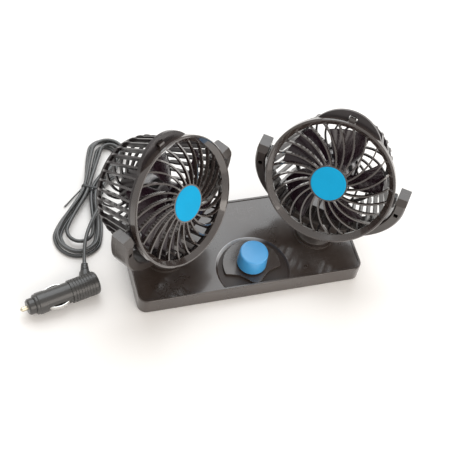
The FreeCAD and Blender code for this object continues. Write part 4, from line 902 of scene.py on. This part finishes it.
@dataclass
class ImpellerWheel:
    """Fan wheel: twisted blades with rounded noses on a hollow hub. Lengths in millimetres.

    The hub's outline is a radius and a height along the air flow for each ring.
    """

    side: Side
    place: Matrix
    blades: int = 5
    middle: float = -3.5
    thickness: float = 1.7
    camber: float = 1.1
    root_radius: float = 14.0
    tip_radius: float = 47.4
    stations: tuple[BladeStation, ...] = (
        BladeStation(13.4, 17.5, 42.0, 0.0), BladeStation(31.0, 35.0, 32.0, 9.0),
        BladeStation(52.0, 43.0, 24.0, 20.0),
    )
    nose_power: int = 4
    span_steps: int = 12
    chord_steps: int = 14
    hub_outline: Pairs = (
        (1.2, 3.2), (1.2, -7.0), (3.3, -7.0), (3.3, 3.1), (12.6, 3.1), (12.6, -8.6), (12.9, -9.0),
        (14.2, -9.0), (14.5, -8.6), (14.5, 3.2), (14.3, 4.1), (13.7, 4.7), (12.8, 5.0), (9.4, 5.0),
        (9.0, 4.6), (8.4, 4.6), (8.0, 5.0), (2.6, 5.0), (2.2, 4.6), (1.2, 4.6),
    )
    hub_facets: int = 48

    def station(self, radius: float) -> tuple[float, float, float]:
        """Chord, pitch and skew of the blade at one radius.

        Args:
            radius: Distance from the wheel's axis.

        Returns:
            The chord, then the pitch and the skew in radians.
        """
        pairs = zip(self.stations, self.stations[1:])
        inner, outer = next(pair for pair in pairs if radius <= pair[1].radius)
        share = (radius - inner.radius) / (outer.radius - inner.radius)
        chord, pitch, skew = (near + (far - near) * share for near, far in zip(inner[1:], outer[1:]))
        return chord, math.radians(pitch), math.radians(skew)

    def section(self, radius: float, turn: float) -> list[Vector]:
        """Outline of a blade at one radius, wrapped round the axis.

        Args:
            radius: Distance from the wheel's axis.
            turn: Turn of this blade, in radians.

        Returns:
            The points in order, nose to tail on one face and back on the other.
        """
        chord, pitch, skew = self.station(radius)
        count = self.chord_steps
        shares = [-math.cos(math.pi * step / count) for step in range(count + 1)]
        faces = [(share, 1) for share in shares] + [(share, -1) for share in shares[-2:0:-1]]
        points = []
        for share, face in faces:
            along = share * chord / 2
            half = self.thickness / 2 * math.sqrt(max(0.0, 1 - share ** self.nose_power))
            off = face * half + self.camber * (1 - share * share)
            around = turn + skew + (along * math.cos(pitch) - off * math.sin(pitch)) / radius
            height = self.middle + along * math.sin(pitch) + off * math.cos(pitch)
            points.append(Vector((radius * math.cos(around), radius * math.sin(around), height)))
        return points

    def draw_blade(self, draft: MeshDraft, turn: float) -> None:
        """Draw one blade from inside the hub's wall to its tip.

        Args:
            draft: Mesh to draw it in.
            turn: Turn of this blade, in radians.
        """
        reach = self.tip_radius - self.root_radius
        radii = [self.root_radius + reach * step / self.span_steps for step in range(self.span_steps + 1)]
        sections = [self.section(radius, turn) for radius in radii]
        draft.solid([draft.loop(self.place @ point for point in section) for section in sections])

    def draw_hub(self, draft: MeshDraft) -> None:
        """Draw the hub as one turned shell with its stem."""
        rings = draft.rings(self.place, self.hub_outline, self.hub_facets)
        draft.skin([*rings, rings[0]])

    def build(self) -> bpy.types.Object:
        """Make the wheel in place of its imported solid.

        Returns:
            The wheel.
        """
        draft = MeshDraft()
        self.draw_hub(draft)
        for index in range(self.blades):
            self.draw_blade(draft, 2 * math.pi * index / self.blades)
        name = self.side.node("impeller")
        mesh = draft.finished(name + "_wheel", crease_deg=38.0)
        return add_piece(mesh, BLADE, self.side.node("blade"), "blade_dark", name)


@dataclass
class FanStation:
    """One fan with its neck, yoke, caged head and impeller. Lengths in millimetres."""

    side: Side
    swivel_x: float = 75.5
    toe_in_deg: float = 36.6
    pivot_height: float = 108.2
    lean_deg: float = 62.7
    yoke_screw_radius: float = 67.8
    yoke_screw_angles: tuple[float, ...] = (200.0, 247.0, 293.0, 340.0)
    yoke_screw_seat: float = 8.3
    motor_screw_offset: float = 8.0
    motor_screw_seat: float = -48.3
    motor_screw_length: float = 5.0
    finishes: Finishes = (
        ("swivel_neck", YOKE), ("yoke_front_shell", YOKE), ("yoke_rear_shell", YOKE),
        ("front_grille", HOUSING), ("rear_cage", CAGE), ("grille_badge", BADGE), ("motor", MOTOR_CAN),
        ("pivot_washers", NYLON), ("swivel_washer", STEEL), ("swivel_screw", STEEL),
        ("pivot_pins", STEEL), ("motor_shaft", STEEL),
    )

    def station(self) -> Matrix:
        """Frame of the yoke: its axis upright, +Y to the rear."""
        turn = Matrix.Rotation(-self.side.sign * math.radians(self.toe_in_deg), 4, "Z")
        return Matrix.Translation((self.side.sign * self.swivel_x, 0.0, 0.0)) @ turn

    def head(self) -> Matrix:
        """Frame of the head: the air flows along +Z."""
        lean = Matrix.Rotation(math.radians(self.lean_deg), 4, "X")
        return self.station() @ Matrix.Translation((0.0, 0.0, self.pivot_height)) @ lean

    def yoke_screws(self) -> CrossHeadScrews:
        """Screws in the back of the yoke.

        Returns:
            The set.
        """
        rearward = Matrix.Rotation(-math.pi / 2, 4, "X")
        places = []
        for angle in map(math.radians, self.yoke_screw_angles):
            across = self.yoke_screw_radius * math.cos(angle)
            height = self.pivot_height + self.yoke_screw_radius * math.sin(angle)
            seat = Matrix.Translation((across, self.yoke_screw_seat, height))
            places.append(self.station() @ seat @ rearward)
        return CrossHeadScrews(self.side.node("yoke_screws"), self.side.node("yoke"), places)

    def motor_screws(self) -> CrossHeadScrews:
        """Screws that hold the motor in the back of the cage.

        Returns:
            The set.
        """
        rearward = Matrix.Rotation(math.pi, 4, "X")
        places = [self.head() @ Matrix.Translation((across, 0.0, self.motor_screw_seat)) @ rearward
                  for across in (-self.motor_screw_offset, self.motor_screw_offset)]
        name = self.side.node("motor_screws")
        return CrossHeadScrews(name, self.side.node("head"), places, self.motor_screw_length)

    def build(self) -> None:
        """Dress the station and make its screws and its wheel."""
        for piece, finish in self.finishes:
            dress(finish, NODES[self.side.node(piece)])
        self.yoke_screws().build()
        self.motor_screws().build()
        ImpellerWheel(self.side, self.head()).build()


@dataclass(frozen=True)
class Lobe:
    """One end of a loop: where its two sides lie across the hank, and how far it reaches. Millimetres."""

    left: float
    right: float
    reach: float


@dataclass
class Hank:
    """Tied loops of cord on the floor, drawn in at the waist and loose beyond it. Lengths in millimetres.

    A crossing of the waist is a place across the hank with a layer, 0 on the floor and 1 on top.
    """

    radius: float = 1.8
    waist: tuple[float, float] = (-126.0, 95.0)
    angle_deg: float = 65.5
    waist_lift: float = 1.5
    layer: float = 4.3
    right_crossings: Pairs = (
        (9.4, 0.0), (4.8, 0.0), (0.6, 0.5), (4.8, 1.0), (9.4, 1.0),
    )
    left_crossings: Pairs = ((-7.2, 0.0), (-3.0, 0.0), (-3.0, 1.0), (-7.2, 1.0))
    lower: tuple[Lobe, ...] = (
        Lobe(-22.0, 22.0, 78.2), Lobe(-16.6, 17.0, 71.8), Lobe(-11.6, 13.0, 63.5), Lobe(-19.4, 19.2, 75.4),
    )
    upper: tuple[Lobe, ...] = (
        Lobe(-14.0, 16.5, 65.0), Lobe(-6.0, 12.2, 57.6), Lobe(-2.2, 17.0, 59.2), Lobe(-10.4, 21.6, 64.2),
    )
    run_shares: tuple[float, ...] = (0.0, 0.17, 0.42, 0.7, 0.95)
    bend_points: int = 5

    def place(self, along: float, across: float, layer: float, lift: float = 0.0) -> Vector:
        """Point of the hank.

        Args:
            along: Distance from the waist along the axis.
            across: Distance to the axis's right.
            layer: Layer that the strand lies in.
            lift: Height above that layer.

        Returns:
            The point.
        """
        turned = Matrix.Rotation(math.radians(self.angle_deg), 3, "Z") @ Vector((along, -across, 0.0))
        return Vector((*self.waist, self.radius + self.layer * layer + lift)) + turned

    def run(self, length: float, crossing: tuple[float, float], side: tuple[float, float]) -> list[Vector]:
        """Control points from the waist out to one side of a lobe.

        Args:
            length: Where the lobe's bend begins along the axis.
            crossing: Crossing of the waist.
            side: Place across the hank and layer that the strand eases over to.

        Returns:
            The points, from the waist outward.
        """
        points = []
        for share in self.run_shares:
            eased = share * share * (3 - 2 * share)
            across, layer = (near + (far - near) * eased for near, far in zip(crossing, side))
            points.append(self.place(length * share, across, layer, self.waist_lift * (1 - eased)))
        return points

    def half_loop(self, end: int, lobe: Lobe, first: tuple[float, float], last: tuple[float, float],
                  layer: float) -> list[Vector]:
        """Control points of one lobe, from a crossing of the waist to just before the next.

        Args:
            end: -1 for the lower lobe and 1 for the upper.
            lobe: The lobe.
            first: Crossing where it starts.
            last: Crossing where it ends.
            layer: Layer that it lies in.

        Returns:
            The points in order.
        """
        half = (lobe.right - lobe.left) / 2
        middle = (lobe.right + lobe.left) / 2
        straight = lobe.reach - half
        outside = half / math.cos(math.pi / (2 * self.bend_points))
        points = self.run(end * straight, first, (middle - end * half, layer))
        for index in range(self.bend_points):
            turn = math.pi * (index + 0.5) / self.bend_points
            along = end * (straight + outside * math.sin(turn))
            points.append(self.place(along, middle - end * outside * math.cos(turn), layer))
        return points + self.run(end * straight, last, (middle + end * half, layer))[:0:-1]

    def controls(self) -> list[Vector]:
        """All control points, from the first waist crossing to the last.

        Returns:
            The points in order.
        """
        points = []
        for loop, left in enumerate(self.left_crossings):
            before, after = self.right_crossings[loop:loop + 2]
            points += self.half_loop(-1, self.lower[loop], before, left, left[1])
            points += self.half_loop(1, self.upper[loop], left, after, left[1])
        return points + [self.place(0.0, *self.right_crossings[-1], self.waist_lift)]


@dataclass
class PowerCord:
    """Thin lead from the base, its hank, and the tail to the plug. Lengths in millimetres.

    The run in is a distance along the hank and one aside for each point, the run out one along and a rise.
    """

    hank: Hank
    length_m: float = 1.46
    run_in: Pairs = ((10.6, 1.3), (3.6, 0.4))
    run_out: Pairs = ((3.6, 0.5), (9.6, 3.4))
    gland_tip: Point = (-45.0, 63.35, 9.5)
    lead: tuple[Point, ...] = (
        (-45.0, 74.35, 9.5), (-48.5, 91.0, 6.0), (-61.0, 104.0, 2.6), (-80.0, 112.0, 2.0),
        (-98.5, 109.0, 2.6),
    )
    tail: tuple[Point, ...] = (
        (-122.9, 69.4, 12.4), (-134.5, 53.0, 12.2), (-143.6, 36.0, 11.8), (-148.63, 18.68, 11.0),
    )
    relief_tip: Point = (-150.49, 6.83, 11.0)
    section_steps: int = 5
    curve_steps: int = 6
    curve_order: int = 3

    def route(self) -> list[Vector]:
        """Control points from the gland to the plug.

        Returns:
            The points in order.
        """
        (start, lower), (finish, upper) = self.hank.right_crossings[0], self.hank.right_crossings[-1]
        lift = self.hank.waist_lift
        lead = [Vector(point) for point in (self.gland_tip, *self.lead)]
        lead += [self.hank.place(along, start + aside, lower, lift) for along, aside in self.run_in]
        tail = [self.hank.place(-along, finish, upper, lift + rise) for along, rise in self.run_out]
        tail += [Vector(point) for point in (*self.tail, self.relief_tip)]
        return lead + self.hank.controls() + tail

    def curve(self) -> bpy.types.Curve:
        """The cord's line, as one smooth spline with a round section.

        Returns:
            The curve, in metres.
        """
        curve = bpy.data.curves.new("power_cord", "CURVE")
        curve.dimensions = "3D"
        curve.bevel_depth = self.hank.radius * MM
        curve.bevel_resolution = self.section_steps
        curve.resolution_u = self.curve_steps
        curve.use_fill_caps = True
        points = self.route()
        spline = curve.splines.new("NURBS")
        spline.points.add(len(points) - 1)
        for control, point in zip(spline.points, points):
            control.co = (*(point * MM), 1.0)
        spline.order_u = self.curve_order
        spline.use_endpoint_u = True
        return curve

    def build(self, tie: bpy.types.Object, plug: list[bpy.types.Object]) -> None:
        """Args:
            tie: Tie round the hank; not used.
            plug: Pieces of the plug on the far end; not used.
        """
        replaced = ("cord_lead", "cord_hank", "cord_tail")
        cord = add_piece(self.curve(), CORD_JACKET, "base", "cord_black", *replaced)
        dress(CORD_JACKET, NODES["cord_gland"])


@dataclass
class TwistTie:
    """Flat wire tie wound round the hank's waist, with its ends twisted together. Lengths in millimetres.

    The section is in shares of the band's width and thickness. The ends part over the last share of the tail.
    """

    hank: Hank
    right: float = 11.9
    left: float = 9.7
    low: float = 0.8
    high: float = 10.0
    corner: float = 2.3
    passes: int = 2
    shift: float = 1.5
    width: float = 1.7
    thickness: float = 0.7
    section: Pairs = (
        (-0.5, 0.0), (-0.25, 0.3), (0.0, 0.5), (0.25, 0.3), (0.5, 0.0), (0.25, -0.3), (0.0, -0.5),
        (-0.25, -0.3),
    )
    tail_root: Point = (0.0, 9.7, 3.0)
    tail_heading: Point = (-1.0, 0.46, -0.07)
    tail_length: float = 27.0
    strand_radius: float = 0.4
    strand_spread: float = 1.05
    splay_from: float = 0.7
    splay: float = 3.0
    twist_pitch: float = 3.4
    corner_steps: int = 6
    steps_per_mm: int = 3
    strand_sides: int = 8

    def band_path(self) -> list[tuple[Vector, Vector]]:
        """Lay the band round the waist.

        Returns:
            Each point with the way out there, across and up.
        """
        left, right = self.left - self.corner, self.corner - self.right
        low, high = self.low + self.corner, self.high - self.corner
        centres = [(left, low, -90.0), (left, high, 0.0), (right, high, 90.0), (right, low, 180.0)]
        path = []
        for across, height, first in centres:
            for step in range(self.corner_steps + 1):
                turn = math.radians(first + 90.0 * step / self.corner_steps)
                out = Vector((0.0, math.cos(turn), math.sin(turn)))
                path.append((Vector((0.0, across, height)) + out * self.corner, out))
        return path

    def draw_band(self, draft: MeshDraft, waist: Matrix) -> None:
        """Draw the flat band with the wire's ridge along its middle.

        Args:
            draft: Mesh to draw it in.
            waist: Frame of the waist.
        """
        path = self.band_path() * self.passes
        rings = []
        for index, (point, out) in enumerate(path):
            middle = point + Vector((self.shift * (index / (len(path) - 1) - 0.5), 0.0, 0.0))
            rings.append(draft.loop(
                waist @ (middle + Vector((wide * self.width, 0.0, 0.0)) + out * (thick * self.thickness))
                for wide, thick in self.section
            ))
        draft.solid(rings)

    def draw_strand(self, draft: MeshDraft, waist: Matrix, phase: float) -> None:
        """Draw one of the two twisted ends.

        Args:
            draft: Mesh to draw it in.
            waist: Frame of the waist.
            phase: Turn by which it is ahead, in radians.
        """
        ahead = Vector(self.tail_heading).normalized()
        side = ahead.cross(Vector((0.0, 0.0, 1.0))).normalized()
        above = side.cross(ahead)
        turns = [2 * math.pi * corner / self.strand_sides for corner in range(self.strand_sides)]
        count = int(self.tail_length * self.steps_per_mm)
        rings = []
        for index in range(count + 1):
            along = self.tail_length * index / count
            turn = phase + 2 * math.pi * along / self.twist_pitch
            splay = max(0.0, along / self.tail_length - self.splay_from) * self.splay
            spread = self.strand_radius * (self.strand_spread + splay)
            centre = Vector(self.tail_root) + ahead * along
            centre += (side * math.cos(turn) + above * math.sin(turn)) * spread
            rings.append(draft.loop(
                waist @ (centre + (side * math.cos(angle) + above * math.sin(angle)) * self.strand_radius)
                for angle in turns
            ))
        draft.solid(rings)

    def build(self) -> bpy.types.Object:
        """Make the tie.

        Returns:
            The tie, as one object.
        """
        waist = Matrix.Translation((*self.hank.waist, 0.0))
        waist = waist @ Matrix.Rotation(math.radians(self.hank.angle_deg), 4, "Z")
        draft = MeshDraft()
        self.draw_band(draft, waist)
        for phase in (0.0, math.pi):
            self.draw_strand(draft, waist, phase)
        mesh = draft.finished("twist_tie", crease_deg=50.0)
        return add_piece(mesh, TIE_COAT, "base", "tie_black", "cord_tie")


@dataclass
class GlassFuse:
    """Tube fuse inside the plug: capped glass round a fine wire. Lengths in millimetres, from the pin's tip.

    A cap's rounded end is an inset from its radius and a depth from its face for each ring.
    """

    tip: Point = (-217.1, -32.0, 11.0)
    heading_deg: float = 13.1
    start: float = 13.05
    end: float = 37.9
    cap_radius: float = 2.95
    cap_length: float = 5.6
    cap_floor: float = 0.6
    cap_round: Pairs = ((0.5, 0.0), (0.12, 0.15), (0.0, 0.55))
    cap_gap: float = 0.03
    tube_radius: float = 2.7
    tube_wall: float = 0.55
    wire_radius: float = 0.14
    wire_sunk: float = 0.3
    wire_facets: int = 8
    facets: int = 28

    def place(self) -> Matrix:
        """Frame of the plug, with +Z from the pin to the handle."""
        along = Matrix.Rotation(math.radians(self.heading_deg), 4, "Z") @ Matrix.Rotation(math.pi / 2, 4, "Y")
        return Matrix.Translation(self.tip) @ along

    def draw_cap(self, draft: MeshDraft, face: float, inward: int) -> None:
        """Draw one metal cap as a cup.

        Args:
            draft: Mesh to draw it in.
            face: Where its flat end is.
            inward: 1 if the cup opens away from the pin, otherwise -1.
        """
        inner = self.tube_radius + self.cap_gap
        outline = [(self.cap_radius - inset, depth) for inset, depth in self.cap_round]
        outline += [(self.cap_radius, self.cap_length), (inner, self.cap_length), (inner, self.cap_floor)]
        placed = [(radius, face + inward * depth) for radius, depth in outline]
        draft.solid(draft.rings(self.place(), placed, self.facets))

    def build(self) -> list[bpy.types.Object]:
        """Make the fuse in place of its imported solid.

        Returns:
            Its metal and its glass.
        """
        low, high = self.start + self.cap_floor, self.end - self.cap_floor
        metal = MeshDraft()
        self.draw_cap(metal, self.start, 1)
        self.draw_cap(metal, self.end, -1)
        ends = (low - self.wire_sunk, high + self.wire_sunk)
        metal.solid(metal.rings(self.place(), [(self.wire_radius, end) for end in ends], self.wire_facets))
        glass = MeshDraft()
        inner = self.tube_radius - self.tube_wall
        outline = [(self.tube_radius, low), (self.tube_radius, high), (inner, high), (inner, low)]
        tube = glass.rings(self.place(), outline, self.facets)
        glass.skin([*tube, tube[0]])
        caps = metal.finished("plug_fuse_caps", crease_deg=35.0)
        clear = glass.finished("plug_fuse_tube", crease_deg=35.0)
        return [
            add_piece(caps, NICKEL, "base", "contact_metal", "plug_fuse"),
            add_piece(clear, GLASS, "base", "fuse_glass", "plug_fuse"),
        ]


@dataclass
class LighterPlug:
    """Lighter plug that lies on the floor at the end of the cord."""

    finishes: Finishes = (
        ("plug_tip", BRASS), ("plug_nose", PLUG), ("plug_barrel", PLUG), ("plug_handle", PLUG),
        ("plug_side_contacts", NICKEL), ("plug_relief", CORD_JACKET),
    )

    def build(self) -> list[bpy.types.Object]:
        """Dress the plug and make its fuse.

        Returns:
            Its pieces.
        """
        for node, finish in self.finishes:
            dress(finish, NODES[node])
        return [NODES[node] for node, _ in self.finishes] + GlassFuse().build()


@dataclass(frozen=True)
class Panel:
    """A soft square light that faces the fan. Metres and watts."""

    name: str
    place: Point
    size: float
    power: float
    colour: tuple[float, float, float]


@dataclass
class Studio:
    """Pale floor, soft light and the camera at the photograph's viewing angle."""

    camera_place: Point = (-0.3028, -0.6073, 0.9949)
    yaw_deg: float = 24.97
    pitch_deg: float = 54.58
    roll_deg: float = -12.4
    focal_px: float = 1236.24
    image_px: float = 450.0
    sensor: float = 36.0
    clip: tuple[float, float] = (0.05, 50.0)
    floor_half: float = 6.0
    floor_colour: Colour = (0.96, 0.94, 0.92, 1.0)
    floor_drift: float = 1.02
    floor_roughness: float = 0.6
    surroundings: Colour = (1.0, 0.975, 0.945, 1.0)
    surroundings_strength: float = 0.72
    panels: tuple[Panel, ...] = (
        Panel("back_panel", (0.14, 0.86, 1.32), 1.5, 18.0, (0.92, 0.965, 1.0)),
        Panel("right_panel", (1.5, -0.35, 0.42), 0.8, 5.0, (1.0, 0.98, 0.95)),
        Panel("front_panel", (0.45, -1.5, 0.9), 1.2, 12.0, (1.0, 0.93, 0.86)),
    )

    def camera(self) -> None:
        """Place the camera and make it the scene's own."""
        yaw = math.radians(self.yaw_deg)
        pitch = math.radians(self.pitch_deg)
        roll = math.radians(self.roll_deg)
        ahead = Vector((math.sin(yaw) * math.cos(pitch), math.cos(yaw) * math.cos(pitch), -math.sin(pitch)))
        level = Vector((math.cos(yaw), -math.sin(yaw), 0.0))
        below = ahead.cross(level)
        right = level * math.cos(roll) + below * math.sin(roll)
        down = below * math.cos(roll) - level * math.sin(roll)
        lens = bpy.data.cameras.new("studio_camera")
        lens.sensor_width = self.sensor
        lens.lens = self.focal_px / self.image_px * self.sensor
        lens.clip_start, lens.clip_end = self.clip
        camera = put("studio_camera", lens)
        turn = Matrix((right, -down, -ahead)).transposed().to_4x4()
        camera.matrix_world = Matrix.Translation(self.camera_place) @ turn
        bpy.context.scene.camera = camera

    def floor(self) -> None:
        """Lay the pale floor."""
        half = self.floor_half
        mesh = bpy.data.meshes.new("studio_floor")
        corners = [(-half, -half, 0.0), (half, -half, 0.0), (half, half, 0.0), (-half, half, 0.0)]
        mesh.from_pydata(corners, [], [(0, 1, 2, 3)])
        floor = put("studio_floor", mesh)
        made, sheet, shader = blank_material("floor_pale")
        tone = sheet.remap(sheet.noise(sheet.place(), scale=3.0), low=0.3, high=0.7)
        drifted = sheet.blend(tone, self.floor_colour, shaded(self.floor_colour, self.floor_drift))
        sheet.wire(shader, {"Base Color": drifted, "Roughness": self.floor_roughness})
        mesh.materials.append(made)

    def light(self) -> None:
        """Hang the soft panels and light the surroundings."""
        for panel in self.panels:
            lamp = bpy.data.lights.new(panel.name, "AREA")
            lamp.shape = "SQUARE"
            lamp.size = panel.size
            lamp.energy = panel.power
            lamp.color = panel.colour
            hung = put(panel.name, lamp)
            hung.location = panel.place
            hung.rotation_euler = (-Vector(panel.place)).to_track_quat("-Z", "Y").to_euler()
        world = bpy.data.worlds.new("studio_surroundings")
        world.use_nodes = True
        background = world.node_tree.nodes["Background"]
        background.inputs["Color"].default_value = self.surroundings
        background.inputs["Strength"].default_value = self.surroundings_strength
        bpy.context.scene.world = world

    def build(self) -> None:
        """Set up the whole studio."""
        self.camera()
        self.floor()
        self.light()
        bpy.context.scene.view_settings.view_transform = "Standard"
        LOG.info("studio ready")


def main() -> None:
    """Build the studio and dress the whole fan."""
    logging.basicConfig(level=logging.INFO, format="%(name)s: %(message)s")
    Studio().build()
    BaseHousing().build()
    SpeedControl().build()
    for side in Side:
        FanStation(side).build()
    hank = Hank()
    PowerCord(hank).build(TwistTie(hank).build(), LighterPlug().build())


if __name__ == "__main__":
    main()
